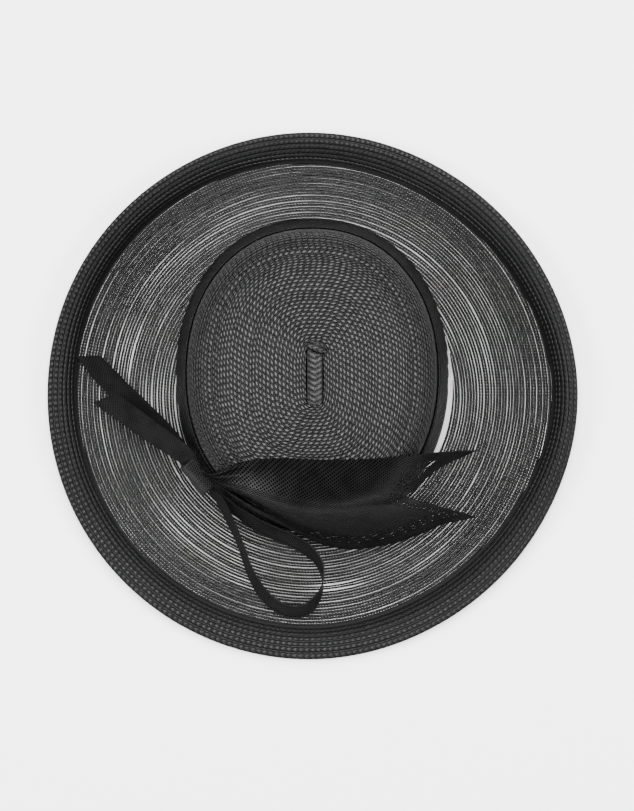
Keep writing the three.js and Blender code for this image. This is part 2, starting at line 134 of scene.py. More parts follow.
# Narrow strips of the bow: (along, side, lift, roll, width, skew)
BACK_TAIL_ROWS = (
    (0.02, 0, 0.88, 58, 0.7, 0),
    (0.165, -0.012, 0.68, 46, 0.9, 0),
    (0.28, -0.012, 0.5, 36, 1, 0),
    (0.44, -0.005, 0.33, 22, 1, 0),
    (0.61, 0.002, 0.23, 14, 1, 0),
    (0.78, 0.005, 0.16, 10, 1, 0),
    (1.01, -0.01, 0.12, 6, 0.88, 0.049),
)
FRONT_TAIL_ROWS = (
    (0.02, 0, 1.1, 50, 0.75, 0),
    (0.14, -0.034, 1.0, 40, 0.95, 0),
    (0.295, -0.026, 0.88, 30, 1, 0),
    (0.5, 0, 0.72, 22, 1, 0),
    (0.71, 0.022, 0.56, 16, 1, 0),
    (1.01, 0.053, 0.36, 10, 0.97, 0.058),
)
LOOP_ROWS = (
    (0.05, -0.005, 0.84, -62, 0.6, 0),
    (0.2, -0.01, 0.7, -62, 0.8, 0),
    (0.336, -0.04, 0.58, -68, 0.95, 0),
    (0.468, -0.073, 0.48, -72, 1, 0),
    (0.59, -0.115, 0.4, -70, 1, 0),
    (0.7, -0.14, 0.33, -64, 1, 0),
    (0.8, -0.144, 0.28, -58, 1, 0),
    (0.904, -0.119, 0.25, -54, 1, 0),
    (0.972, -0.068, 0.24, -53, 1, 0),
    (1.004, 0.003, 0.24, -56, 1, 0),
    (0.994, 0.069, 0.25, -66, 1, 0),
    (0.963, 0.136, 0.27, -80, 1, 0),
    (0.905, 0.192, 0.3, -96, 1, 0),
    (0.82, 0.226, 0.36, -112, 1, 0),
    (0.72, 0.217, 0.44, -124, 1, 0),
    (0.62, 0.175, 0.5, -128, 1, 0),
    (0.525, 0.122, 0.54, -128, 1, 0),
    (0.43, 0.074, 0.58, -126, 1, 0),
    (0.29, 0.03, 0.64, -118, 0.9, 0),
    (0.13, 0.008, 0.74, -100, 0.7, 0),
    (0.04, 0, 0.84, -90, 0.5, 0),
)

# The wide end's two edges from beside the knot to the tips: (across, back, high)
FAN_UPPER_EDGE = (
    (-0.73, -0.655, 0.62),
    (-0.58, -0.6, 0.84),
    (-0.43, -0.562, 0.95),
    (-0.2, -0.553, 0.98),
    (0.1, -0.562, 0.99),
    (0.4, -0.558, 0.97),
    (0.69, -0.54, 0.86),
    (0.95, -0.522, 0.68),
    (1.282, -0.509, 0.48),
)
FAN_LOWER_EDGE = (
    (-0.69, -0.755, 0.4),
    (-0.48, -0.87, 0.34),
    (-0.24, -1.0, 0.26),
    (0.02, -1.13, 0.17),
    (0.3, -1.185, 0.1),
    (0.62, -1.15, 0.08),
    (0.85, -1.08, 0.12),
    (1.05, -1.01, 0.16),
    (1.287, -0.968, 0.2),
)

# The knot: how far its turns stand out, their mesh, roundness, hems and ripples
KNOT_STAND = 0.0012
KNOT_WRAP_DEPTH = 0.0068
KNOT_STEPS = 72
KNOT_COLUMNS = 21
KNOT_ROUND = 0.28
KNOT_EDGE_POWER = 5
KNOT_HEM = 0.05
KNOT_HEM_AT = 0.86
KNOT_HEM_WIDTH = 0.08
KNOT_RIPPLE = 0.03
KNOT_RIPPLES = 3
KNOT_RIPPLE_TURN = 90
KNOT_WEAVE_SHARE = 0.3

# The knot's turns: (middle along the knot, half width, size, lean)
KNOT_TURNS = (
    (-0.0036, 0.0086, 0.96, 0.001),
    (0.0072, 0.0042, 1.1, 0.0008),
)

# Straw braid: sizes of its rows and plaits on the crown, and painted shade on its shoulder and side: the row
# it starts at, the rows it fades in over, and the share of the colours left
CROWN_ROW = 0.0024
CROWN_CELL = 0.0038
CROWN_RELIEF = 0.0007
CROWN_STEPS = 300
CROWN_ROW_POINTS = 4
LEAST_CELLS = 8
OUTLINE_POINTS = 1440
PROFILE_POINTS = 400
ROW_SHIFT = 0.37
CROWN_SHADE_ROW = 29
SHADE_FADE = 5
CROWN_SHADE_SHARE = 0.28

# The braid's straight start: its box, and where along the profile the rows have turned from it to the oval
STUB_HALF_WIDTH = 0.0056
STUB_HALF_LENGTH = 0.0182
STUB_SIDE = 0.0018
STUB_BACK = -0.002
STUB_RAISE = 0.0017
STUB_POWER = 1.4
STUB_TURN = 3
STUB_CELL = 0.0035
STUB_ROWS = 60
STUB_COLUMNS = 41
STUB_FLOOR = 0.35
STUB_SINK = 0.0003
STUB_ZIGZAG = 0.12
STUB_PLAIT_SHARE = 0.75
STUB_EDGE_POWER = 12
STUB_END_POWER = 24

# Cords and plaits along the straight start: (middle across, width, height)
STUB_CORDS = ((-0.82, 0.1, 1), (0.84, 0.1, 1), (-0.5, 0.08, 0.8))
STUB_PLAITS = ((0.12, 0.16, 1), (-0.18, 0.1, 0.7))

# The braid's folded end on the straight start
KNOB_HALF_WIDTH = 0.0074
KNOB_HALF_DEPTH = 0.0042
KNOB_RAISE = 0.0032
KNOB_LEAN = -22
KNOB_SIDE = 0.0012
KNOB_ROWS = 30
KNOB_COLUMNS = 24
KNOB_BRAIDS = 5
KNOB_TIP = 0.004
KNOB_UNDER = -0.2

# Plaited rows of the rim, over a smooth fold that lies before the first row. The fold's colour is lighter
# than the plaits': painted light on the fold, which lies in shade
RIM_ROWS = 6
RIM_CELLS = 292
RIM_CELL_POINTS = 4
RIM_ROW_POINTS = 6
RIM_UNDER_POINTS = 3
RIM_RELIEF = 0.0006
RIM_LEAN = 0.5
RIM_PLAIT = 0.4
RIM_FOLD = 0.17
FOLD_POINTS = 4
FOLD_ROW = -1
FOLD_PAINTED_LIGHT = (0.0125, 0.0125, 0.0128)

# Rings of flat braid: pitch, gaps between them as (even ring, odd ring), and the least strand that is built
SHEER_PITCH = 0.00203
SHEER_THICK = 0.0007
SHEER_STEPS = 270
SHEER_BEAD = 0.002
SHEER_SEED = 7
SHEER_SWAY = 0.0003
SWAY_KNOTS = 12
GAPS = (0.00018, 0.0005)
GAP_EVEN = 0.45
GAP_VARIES = 2.4
GAP_KNOTS = (26, 9)
GAP_FADE = 0.03
GAP_LEAST = 0.3
GAP_BACK = 0.3
STRAND_LEAST = 0.0004
STRAND_CLEAR = 0.0005
STRAND_STEPS = 3

# A strand's section: (share of the way across, share of the thickness down)
STRAND_SECTION = ((0, 0.35), (0.3, 0), (0.7, 0), (1, 0.35), (1, 0.75), (0.7, 1), (0.3, 1), (0, 0.75))

# Ribbon round the crown: its ribs, its mesh, its rolled edges and its ripples
HERRINGBONES = 190
HAT_BAND_STEPS = 360
HAT_BAND_COLUMNS = 15
HAT_BAND_INNER = 0.0002
HAT_BAND_OUTER = 0.7
ROLL = 0.0005
ROLL_WIDTH = 0.06
RIPPLE = 0.0003
RIPPLES = 7

# Narrow strips: columns of the mesh, thickness, and the raised hems along the edges
STRIP_COLUMNS = 25
STRIP_THICK = 0.00055
STRIP_HEM = 0.00055
STRIP_HEM_WIDTH = 0.045
TAIL_STEPS = 70
TAIL_HEMS = (-0.95, 0.95)
LOOP_STEPS = 200
LOOP_HEMS = (0.78, 0.95, -0.95)

# The wide end's mesh, thickness, hems as (middle across, width), and rows read for its direction at the cut
FAN_STEPS = 170
FAN_COLUMNS = 91
FAN_THICK = 0.0004
FAN_HEM = 0.0005
FAN_HEMS = ((0.0, 0.012), (1.0, 0.012), (0.93, 0.008))
FAN_SMOOTH = 14
FAN_CUT_ROWS = 8

# The wide end's folds: (height, middle across, width across, middle along, length along)
FAN_CREASE = (-0.0085, 0.4, 0.06, 0, 0.26)
FAN_FOLDS = ((0.004, 0.46, 0.2, 0.36, 0.14), (-0.008, 0.8, 0.08, 0.33, 0.2))

# Gathers beside the knot: (height, half waves across, length along), and the way over which they begin
FAN_GATHER = (0.0026, 11, 0.26)
FAN_GATHER_START = 0.05

# Light and shade in the wide end: (middle across, width across, middle along, length along)
FAN_DIPS = ((0.38, 0.13, 0.09, 0.08), (0.82, 0.17, 0.22, 0.15))
FAN_SWELL = (0.42, 0.2, 0.27, 0.09)
PLAIN_SHADE = 0.19
FOLD_SHADE = 0.012
DARKEST = 0.02

# Hems of the wide end, with a row of stitch holes beside them, and the openness of its mesh
HEM = 0.0072
UPPER_HEM = 0.012
STITCH_PITCH = 0.0034
STITCH_ZONE = 0.012
STITCH_OPEN = 0.8
MESH_OPEN = 0.13
END_SHARE = 2.0
WEAVE_RISE = 0.3

# Lines along both edges of the loop's ribbon: the light selvedge, and a dark line of painted shade for a
# groove
SELVEDGE_AT = 0.0009
GROOVE_SHADE_AT = 0.002
LINE_HALF = 0.0005
SELVEDGE_COLOUR = (0.015, 0.015, 0.0153)

# Material detail. A noise has its scale in cells to a metre. A span is the part of a noise or a wave over
# which something goes from none to all, and then its least and most, where these are not 0 and 1.
STRAW_GRAIN = 900.0
STRAW_GRAIN_SPAN = (0.3, 0.7)
STRAW_GRAIN_RELIEF = 0.25
# Painted sheen on the straw: scale and span of the patches of its lit colour
STRAW_PATCH = 330.0
STRAW_PATCH_SPAN = (0.35, 0.65)
STRAW_ROUGHNESS = (0.28, 0.44)
PLAIT_SPAN = (0.1, 0.5)
ROW_SPAN = (0.12, 0.48)
SHEER_GRAIN = 900.0
# Painted glints on the flat braid: the scale of their specks and their span
SHEER_GLINTS = 1600.0
SHEER_GLINT_SPAN = (0.42, 0.62)
SHEER_BEAD_RELIEF = 0.5
SHEER_RELIEF = 0.0004
SHEER_ROUGHNESS = 0.4
SHEER_GLOSS = 0.12
SHEER_DARK = (0.001,) * 3
SHEER_LIT = (0.016,) * 3
CRIN_PATCH = 110.0
CRIN_PATCH_SPAN = (0.3, 0.7, 0.5, 1.0)
CRIN_THREAD_SPAN = (0.5, 0.95)
CRIN_RELIEF = 0.0006
CRIN_ROUGHNESS = 0.42
STITCH_PATCH = 160.0
STITCH_PATCH_SPAN = (0.28, 0.44)
STITCH_SPAN = (0.3, 0.65)
RIB_SLANT = 2.5
RIB_SPAN = (0.35, 0.75)
RIB_SEAM_SPAN = (0.0, 0.04)
RIB_PATCH = 80.0
# Painted shade darkening the crown ribbon towards its top, as a span of its height
RIB_TOP_SHADE = (0.35, 0.9, 1.0, 0.35)
RIB_RELIEF = 0.0004
RIB_ROUGHNESS = 0.45
RIB_GLOSS = 0.13
RIB_DARK = (0.0002,) * 3
RIB_LIT = (0.024, 0.024, 0.0245)

# Sheer braid: the solid share of its width, and what beads and grain add to it
SHEER_SOLID = 0.62
SHEER_BEAD_REACH = 0.3
SHEER_GRAIN_REACH = 0.36

# Straws: (plaits to both sides, colour between them, dull and lit colours, slant, depth, relief, gloss)
STRAWS = {
    "straw_crown": (False, (0.0004,) * 3, (0.0155,) * 3, (0.04, 0.04, 0.041), 0.6, 0.95, 0.0012, 0.12),
    "straw_start": (True, (0.0004,) * 3, (0.013,) * 3, (0.027, 0.027, 0.028), 0.9, 0.7, 0.0008, 0.1),
    "straw_plait": (True, (0.0018,) * 3, (0.0042,) * 3, (0.007, 0.007, 0.0073), 0.55, 0.9, 0.0004, 0.08),
}

# Ribbons of bias weave: (colour between the threads, colour on them, pitch of the threads, gloss). The wrap's
# threads are lighter than the same ribbon's on the tails: painted light on the knot
CRINS = {
    "crin_ribbon": ((0.0006,) * 3, (0.018, 0.018, 0.0185), 0.002, 0.04),
    "crin_wrap_lit": ((0.0006,) * 3, (0.032, 0.032, 0.033), 0.0022, 0.06),
    "crin_lined": ((0.0004,) * 3, (0.026, 0.026, 0.0265), 0.0026, 0.04),
    "crin_mesh": ((0.0001,) * 3, (0.05, 0.05, 0.051), 0.0026, 0.03),
}


def spread(values, t):
    """Smooth values between equally spaced ones, at positions t counted in steps."""
    values = np.asarray(values, float)
    last = len(values) - 1
    row = np.clip(np.floor(t).astype(int), 0, last - 1)
    part = (np.asarray(t) - row).reshape((-1,) + (1,) * (values.ndim - 1))
    a, b, c, d = (values[np.clip(row + step, 0, last)] for step in (-1, 0, 1, 2))
    return hermite(a, b, c, d, part)


def hermite(a, b, c, d, t):
    slope_in, slope_out, rest = (c - a) / 2, (d - b) / 2, b - c
    cubic = (2 * rest + slope_in + slope_out) * t - 3 * rest - 2 * slope_in - slope_out
    return cubic * t * t + slope_in * t + b


def wave_at(column, bearing):
    values = np.array(BRIM_WAVE[column])
    count = len(values)
    turn = np.mod(bearing / TAU, 1) * count
    row = np.floor(turn).astype(int)
    a, b, c, d = (values[(row + step) % count] for step in (-1, 0, 1, 2))
    return hermite(a, b, c, d, turn - row)


def rim_radius_at(bearing):
    return RIM_RADIUS * wave_at("reach", bearing)


def valley_radius_at(bearing):
    return rim_radius_at(bearing) - RIM_BAND_WIDTH * wave_at("width", bearing)


def lap_radius_at(bearing):
    return valley_radius_at(bearing) + LAP_WIDTH


def oval_radius(bearing, half_width, half_depth, power=OVAL_POWER):
    wide = (np.abs(np.cos(bearing)) / half_width) ** power
    deep = (np.abs(np.sin(bearing)) / half_depth) ** power
    return (wide + deep) ** (-1 / power)


def reach_to(radius_at, bearing):
    """Distance in plan from the crown's axis to an outline given by its radius about the origin."""
    along = CROWN_SIDE * np.cos(bearing) + CROWN_BACK * np.sin(bearing)
    offset = CROWN_SIDE**2 + CROWN_BACK**2
    distance = np.full_like(bearing, RIM_RADIUS)
    for _ in range(REACH_ROUNDS):
        x, y = plan(bearing, distance)
        distance = np.sqrt(along**2 - offset + radius_at(np.arctan2(y, x)) ** 2) - along
    return distance


def plan(bearing, distance):
    return CROWN_SIDE + distance * np.cos(bearing), CROWN_BACK + distance * np.sin(bearing)


def placed(bearing, distance, height):
    """Points round the crown's axis: bearings down the rows, and distances and heights across."""
    x, y = plan(bearing[:, None], distance)
    return np.stack([x, y, np.broadcast_to(height, x.shape)], -1)


def sheer_top(bearing, distance):
    inner = oval_radius(bearing, HEAD_HALF_WIDTH, HEAD_HALF_DEPTH)
    outer = reach_to(valley_radius_at, bearing)
    way = np.clip((distance - inner) / (outer - inner), 0, 1)
    return SHEER_WALL + (HEADLINE_HEIGHT - SHEER_WALL) * (1 - way) ** BRIM_DISH


def crown_out_at(up):
    outs, ups = np.array(CROWN_PROFILE).T
    return np.interp(up, ups, outs)


def hat_band_distance(bearing, up, wall):
    out = crown_out_at(up * HAT_BAND_HEIGHT / CROWN_HEIGHT)
    flare = (CROWN_FLANGE + SEAT_GAP) * (1 - up) ** HAT_BAND_FLARE
    beyond = CROWN_WALL + HAT_BAND_GAP + flare + wall
    return oval_radius(bearing, out * HEAD_HALF_WIDTH + beyond, out * HEAD_HALF_DEPTH + beyond)


def top_at(x, y):
    """Height of the hat's upper side in plan, without the bow."""
    bearing = np.arctan2(y - CROWN_BACK, x - CROWN_SIDE)
    distance = np.hypot(x - CROWN_SIDE, y - CROWN_BACK)
    height = sheer_top(bearing, distance)
    outs, ups = np.array(CROWN_PROFILE).T
    halves = [(out * HEAD_HALF_WIDTH + CROWN_WALL, out * HEAD_HALF_DEPTH + CROWN_WALL) for out in outs]
    walls = [oval_radius(bearing, *half) for half in halves]
    foot = HEADLINE_HEIGHT + SEAT_GAP
    for lower in range(len(ups) - 1):
        wide, narrow = walls[lower], walls[lower + 1]
        share = np.clip((wide - distance) / np.maximum(wide - narrow, 1e-9), 0, 1)
        rise = foot + CROWN_WALL + CROWN_HEIGHT * (ups[lower] + share * (ups[lower + 1] - ups[lower]))
        height = np.where(distance < wide, np.maximum(height, rise), height)
    for up in np.linspace(0, 1, HAT_BAND_LEVELS):
        band = hat_band_distance(bearing, up, HAT_BAND_WALL)
        height = np.where(distance < band, np.maximum(height, foot + up * HAT_BAND_HEIGHT), height)
    inner = reach_to(valley_radius_at, bearing)
    outer = reach_to(rim_radius_at, bearing)
    way = np.clip((distance - inner) / (outer - inner), 0, 1)
    rise = RIM_RISE * wave_at("rise", np.arctan2(y, x))
    rim = SHEER_WALL + SEAT_GAP + RIM_WALL + rise * (1 - (1 - way) ** 2)
    return np.where(distance > inner, np.maximum(height, rim), height)


def held_at(x, y, clearance):
    bearing = np.arctan2(y - CROWN_BACK, x - CROWN_SIDE)
    nearer = (x - clearance * np.cos(bearing), y - clearance * np.sin(bearing))
    return np.maximum(top_at(x, y), top_at(*nearer)) + clearance


def knot_centre():
    bearing = np.array(math.radians(KNOT_BEARING))
    touch = (KNOT_HEIGHT - KNOT_HALF_HEIGHT / 2) / HAT_BAND_HEIGHT
    distance = hat_band_distance(bearing, touch, HAT_BAND_WALL) + SEAT_GAP + KNOT_HALF_DEPTH
    x, y = plan(bearing, distance)
    return np.array([x, y, HEADLINE_HEIGHT + KNOT_HEIGHT])


class Shape:
    """Grids of points joined into one mesh, each with its own coordinates for the weave."""

    def __init__(self):
        self.points, self.faces, self.uvs, self.edges, self.count = [], [], [], [], 0

    def grid(self, points, along, across, cells=None, around=False, through=False, caps=False, more=None):
        """points is rows by columns. around joins the last row to the first, and through the last column.
        more gives each point's own weave coordinates, its distances to the cut end and to the lower edge, its
        share of light in the folds and its distance to the upper edge."""
        rows, columns = points.shape[:2]
        index = np.arange(rows * columns).reshape(rows, columns) + self.count
        if around:
            index = np.vstack([index, index[:1]])
        if through:
            index = np.hstack([index, index[:, :1]])
        i = np.arange(index.shape[0] - 1)[:, None, None] + np.array([0, 1, 1, 0])
        j = np.arange(index.shape[1] - 1)[None, :, None] + np.array([0, 0, 1, 1])
        i, j = np.broadcast_arrays(i, j)
        cells = np.ones(index.shape[1] - 1) if cells is None else cells
        u = along[i] * cells[None, :, None]
        self.faces.extend(index[i, j].reshape(-1, 4).tolist())
        if more is None:
            self.uvs.append(np.stack([u, across[j]], -1).reshape(-1, 2))
        else:
            more = np.concatenate([more, more[:, :1]], 1) if through else more
            self.uvs.append(more[i, j, :2].reshape(-1, 2))
            self.edges.append(more[i, j, 2:].reshape(-1, 4))
        if caps:
            for end in (index[0, :columns], index[-1, :columns]):
                self.faces.append(end.tolist())
                self.uvs.append(np.zeros((columns, 2)))
                self.edges.append(np.zeros((columns, 4)))
        self.points.append(points.reshape(-1, 3))
        self.count += rows * columns

    def cap(self, ring):
        """A flat face across a ring of points."""
        self.faces.append(ring.tolist())
        self.uvs.append(np.zeros((len(ring), 2)))

    def object(self, name, material, replaces=()):
        mesh = bpy.data.meshes.new(name)
        mesh.from_pydata(np.vstack(self.points).tolist(), [], self.faces)
        layer = mesh.uv_layers.new(name="weave")
        layer.data.foreach_set("uv", np.vstack(self.uvs).astype(np.float32).ravel())
        if self.edges and len(np.vstack(self.edges)) == len(mesh.loops):
            edges = np.vstack(self.edges).astype(np.float32)
            layer = mesh.uv_layers.new(name="edge")
            layer.data.foreach_set("uv", edges[:, :2].ravel())
            layer = mesh.uv_layers.new(name="fold")
            layer.data.foreach_set("uv", edges[:, 2:].ravel())
        mesh.materials.append(material)
        mesh.polygons.foreach_set("use_smooth", [True] * len(mesh.polygons))
        body = bmesh.new()
        body.from_mesh(mesh)
        bmesh.ops.recalc_face_normals(body, faces=body.faces)
        body.to_mesh(mesh)
        body.free()
        piece = bpy.data.objects.new(name, mesh)
        bpy.context.scene.collection.objects.link(piece)
        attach(piece, "root")
        if replaces:
            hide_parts(*replaces)
        return piece


class Paint:
    """A material's nodes, with short ways to add them."""

    def __init__(self, name):
        self.material = bpy.data.materials.new(name)
        self.material.use_nodes = True
        self.tree = self.material.node_tree
        self.shader = self.tree.nodes["Principled BSDF"]
        self.u, self.v = self.layer("weave")[:2]
        self.place = self.tree.nodes.new("ShaderNodeTexCoord").outputs["Object"]

    def layer(self, name):
        made = self.tree.nodes.new("ShaderNodeUVMap")
        made.uv_map = name
        return self.node("ShaderNodeSeparateXYZ", made.outputs[0]).outputs

    def node(self, kind, *inputs, **settings):
        made = self.tree.nodes.new(kind)
        for key, value in settings.items():
            setattr(made, key, value)
        for socket, value in zip(made.inputs, inputs):
            self.plug(socket, value)
        return made

    def plug(self, socket, value):
        if isinstance(value, bpy.types.NodeSocket):
            self.tree.links.new(value, socket)
        elif value is not None:
            socket.default_value = value

    def sum(self, operation, *inputs):
        return self.node("ShaderNodeMath", *inputs, operation=operation).outputs[0]

    def times(self, value, share):
        return self.sum("MULTIPLY", value, share)

    def peak(self, value):
        """0 at each whole number and 1 half way between."""
        part = self.sum("FRACT", value)
        off = self.sum("ABSOLUTE", self.sum("MULTIPLY_ADD", part, 2.0, -1.0))
        return self.sum("SUBTRACT", 1.0, off)

    def noise(self, scale, detail):
        return self.node("ShaderNodeTexNoise", self.place, None, scale, detail).outputs[0]

    def mix(self, factor, low, high):
        """A mix node keeps its two colours in sockets 6 and 7, and the mixed one in output 2."""
        made = self.tree.nodes.new("ShaderNodeMix")
        made.data_type = "RGBA"
        self.plug(made.inputs[0], factor)
        self.plug(made.inputs[6], (*low, 1) if isinstance(low, tuple) else low)
        self.plug(made.inputs[7], (*high, 1) if isinstance(high, tuple) else high)
        return made.outputs[2]

    def span(self, value, low, high, low_to=0.0, high_to=1.0):
        return self.node("ShaderNodeMapRange", value, low, high, low_to, high_to).outputs[0]

    def bump(self, height, distance):
        made = self.node("ShaderNodeBump", 1.0, distance)
        self.plug(made.inputs["Height"], height)
        self.plug(self.shader.inputs["Normal"], made.outputs[0])

    def set(self, **values):
        for key, value in values.items():
            self.plug(self.shader.inputs[key.replace("_", " ")], value)


def straw(name, shade_row=None):
    """Lacquered straw braid: a row for each whole v, a plait for each whole u. Beyond a given row its colours
    are darker copies, painted shade on the crown's shoulder and side, and without one it has a smooth fold
    before its first row."""
    chevron, dark, dull, lit, slant, depth, relief, gloss = STRAWS[name]
    paint = Paint(name)
    row = paint.peak(paint.v)
    part = paint.sum("FRACT", paint.v)
    lean = paint.times(row if chevron else part, slant)
    shift = paint.times(paint.sum("FLOOR", paint.v), 0 if chevron else ROW_SHIFT)
    cell = paint.peak(paint.sum("ADD", paint.sum("ADD", paint.u, shift), lean))
    plait = paint.span(cell, *PLAIT_SPAN, 1 - depth, 1.0)
    bead = paint.times(paint.span(row, *ROW_SPAN), plait)
    strand = paint.noise(STRAW_GRAIN, 1.0)
    paint.bump(paint.sum("MULTIPLY_ADD", strand, STRAW_GRAIN_RELIEF, bead), relief)
    # Painted sheen: noise patches of the lit colour among the dull
    patch = paint.span(paint.noise(STRAW_PATCH, 1.0), *STRAW_PATCH_SPAN)
    colour = paint.mix(bead, dark, paint.mix(patch, dull, lit))
    # Painted shade: beyond the given row the dull and lit colours are scaled darker, for the shade on the
    # crown's shoulder and side wall
    if shade_row:
        side = [tuple(tone * CROWN_SHADE_SHARE for tone in shade) for shade in (dull, lit)]
        shaded_colour = paint.mix(bead, dark, paint.mix(patch, *side))
        turned = paint.span(paint.v, shade_row - SHADE_FADE, shade_row + SHADE_FADE)
        colour = paint.mix(turned, colour, shaded_colour)
    else:
        # Painted light: the fold before the first row takes a colour lighter than the plaits, where it lies
        # in shade
        colour = paint.mix(paint.span(paint.v, FOLD_ROW, FOLD_ROW / 2), FOLD_PAINTED_LIGHT, colour)
    roughness = paint.span(strand, *STRAW_GRAIN_SPAN, *STRAW_ROUGHNESS)
    paint.set(Base_Color=colour, Roughness=roughness, Specular_IOR_Level=gloss)
    return paint.material


def sheer():
    """Flat horsehair braid: solid along its middle and beaded along both edges, with painted glints in specks
    of its lit colour.
    """
    paint = Paint("sheer_braid")
    bead = paint.peak(paint.u)
    grain = paint.noise(SHEER_GRAIN, 3.0)
    edge = paint.sum("ABSOLUTE", paint.sum("MULTIPLY_ADD", paint.v, 2.0, -1.0))
    reach = paint.sum("MULTIPLY_ADD", bead, SHEER_BEAD_REACH, SHEER_SOLID)
    reach = paint.sum("MULTIPLY_ADD", grain, SHEER_GRAIN_REACH, reach)
    solid = paint.sum("GREATER_THAN", reach, edge)
    ridge = paint.sum("SUBTRACT", 1.0, edge)
    paint.bump(paint.sum("MULTIPLY_ADD", bead, SHEER_BEAD_RELIEF, ridge), SHEER_RELIEF)
    # Painted glints: noise specks of the lit colour over the dark braid
    glint = paint.span(paint.noise(SHEER_GLINTS, 1.0), *SHEER_GLINT_SPAN)
    colour = paint.mix(glint, SHEER_DARK, SHEER_LIT)
    paint.set(Base_Color=colour, Roughness=SHEER_ROUGHNESS, Specular_IOR_Level=SHEER_GLOSS, Alpha=solid)
    return paint.material


def crin(name, mesh=False, lined=False):
    """Ribbon of bias weave: two sets of slanting threads. A mesh is open between them, and a lined ribbon has
    a dark line of painted shade, for a groove, and a light line along both edges."""
    dark, light, pitch, gloss = CRINS[name]
    paint = Paint(name)
    down = paint.sum("ADD", paint.u, paint.v)
    up = paint.sum("SUBTRACT", paint.u, paint.v)
    first = paint.peak(paint.times(down, 1 / pitch))
    second = paint.peak(paint.times(up, 1 / pitch))
    thread = paint.sum("MAXIMUM", first, second)
    paint.bump(paint.sum("ADD", thread, paint.times(first, second)), CRIN_RELIEF)
    patch = paint.span(paint.noise(CRIN_PATCH, 3.0), *CRIN_PATCH_SPAN)
    bright = paint.times(paint.span(thread, *CRIN_THREAD_SPAN), patch)
    if mesh:
        # Painted light and shade: the mesh's threads are scaled by the wide end's share of light from the
        # fold map, darker in its dips and folds and lighter on its belly
        bright = paint.times(bright, paint.layer("fold")[0])
        paint.set(Alpha=woven(paint, thread))
    colour = paint.mix(bright, dark, light)
    if lined:
        off = paint.sum("MINIMUM", paint.v, paint.sum("SUBTRACT", STRIP_WIDTH, paint.v))
        # Painted shade: a dark line near each edge stands for the shade in a groove
        colour = paint.mix(beside(paint, off, GROOVE_SHADE_AT), colour, dark)
        colour = paint.mix(beside(paint, off, SELVEDGE_AT), colour, SELVEDGE_COLOUR)
    paint.set(Base_Color=colour, Roughness=CRIN_ROUGHNESS, Specular_IOR_Level=gloss)
    return paint.material


def woven(paint, thread):
    """1 where the wide end is solid: on its threads and hems, but less in the stitch holes beside a hem."""
    edge = paint.layer("edge")
    beyond = paint.sum("SUBTRACT", paint.sum("MINIMUM", edge[0], edge[1]), HEM)
    seam = paint.span(paint.peak(paint.times(beyond, 1 / STITCH_PITCH)), *STITCH_SPAN)
    zone = paint.sum("LESS_THAN", beyond, STITCH_ZONE)
    zone = paint.times(zone, paint.sum("GREATER_THAN", paint.layer("fold")[1], UPPER_HEM))
    # Patches where the stitch holes are worn open
    patch_mask = paint.span(paint.noise(STITCH_PATCH, 2.0), *STITCH_PATCH_SPAN)
    holes = paint.times(paint.times(seam, zone), patch_mask)
    solid = paint.sum("GREATER_THAN", thread, paint.sum("MULTIPLY_ADD", holes, STITCH_OPEN, MESH_OPEN))
    return paint.sum("MAXIMUM", solid, paint.sum("LESS_THAN", beyond, 0.0))


def beside(paint, off, middle):
    """1 within a line at a distance from the ribbon's edge, and 0 elsewhere."""
    return paint.sum("LESS_THAN", paint.sum("ABSOLUTE", paint.sum("SUBTRACT", off, middle)), LINE_HALF)


def herringbone():
    """The crown's ribbon: two bands of slanting ribs that meet at its middle, with patches of lighter ribs,
    and painted shade that makes it darker towards its top, under the crown's shoulder.
    """
    paint = Paint("herringbone_ribbon")
    half = paint.peak(paint.v)
    rib = paint.span(paint.peak(paint.sum("MULTIPLY_ADD", half, RIB_SLANT, paint.u)), *RIB_SPAN)
    seam = paint.span(paint.sum("ABSOLUTE", paint.sum("SUBTRACT", paint.v, 0.5)), *RIB_SEAM_SPAN)
    paint.bump(paint.times(rib, seam), RIB_RELIEF)
    # Painted shade: the ribs' random patches are dimmed towards the ribbon's top, where the crown's shoulder
    # shades it
    patch_mask = paint.times(paint.noise(RIB_PATCH, 3.0), paint.span(paint.v, *RIB_TOP_SHADE))
    colour = paint.mix(paint.times(rib, patch_mask), RIB_DARK, RIB_LIT)
    paint.set(Base_Color=colour, Roughness=RIB_ROUGHNESS, Specular_IOR_Level=RIB_GLOSS)
    return paint.material


def plain_floor():
    paint = bpy.data.materials.new("pale_floor")
    paint.use_nodes = True
    shader = paint.node_tree.nodes["Principled BSDF"]
    shader.inputs["Base Color"].default_value = (FLOOR_SHADE, FLOOR_SHADE, FLOOR_SHADE, 1)
    shader.inputs["Roughness"].default_value = FLOOR_ROUGHNESS
    shader.inputs["Specular IOR Level"].default_value = FLOOR_GLOSS
    return paint


def bearings(count):
    return np.arange(count) / count * TAU


def crown_way():
    """The crown's profile from the tip's middle to the foot, and the way along it to each of its points."""
    profile = np.array(CROWN_PROFILE)[::-1]
    hops = np.hypot(np.diff(profile[:, 0]) * HEAD_HALF_MEAN, np.diff(profile[:, 1]) * CROWN_HEIGHT)
    return profile, np.concatenate([[0], np.cumsum(hops)])


def crown_profile(shares):
    """At shares of the way down: out, up, the normal's two parts, and the share of the straight start."""
    profile, way = crown_way()
    fine = np.linspace(0, len(profile) - 1, PROFILE_POINTS)
    smooth = spread(profile, fine)
    fine_way = np.interp(fine, np.arange(len(way)), way)
    out = np.interp(shares * way[-1], fine_way, smooth[:, 0])
    up = np.interp(shares * way[-1], fine_way, smooth[:, 1])
    run = np.gradient(out * HEAD_HALF_MEAN)
    rise = -np.gradient(up * CROWN_HEIGHT)
    length = np.maximum(np.hypot(run, rise), 1e-9)
    stub = np.clip(1 - shares * way[-1] / way[STUB_TURN], 0, 1)
    return out, up, rise / length, run / length, stub


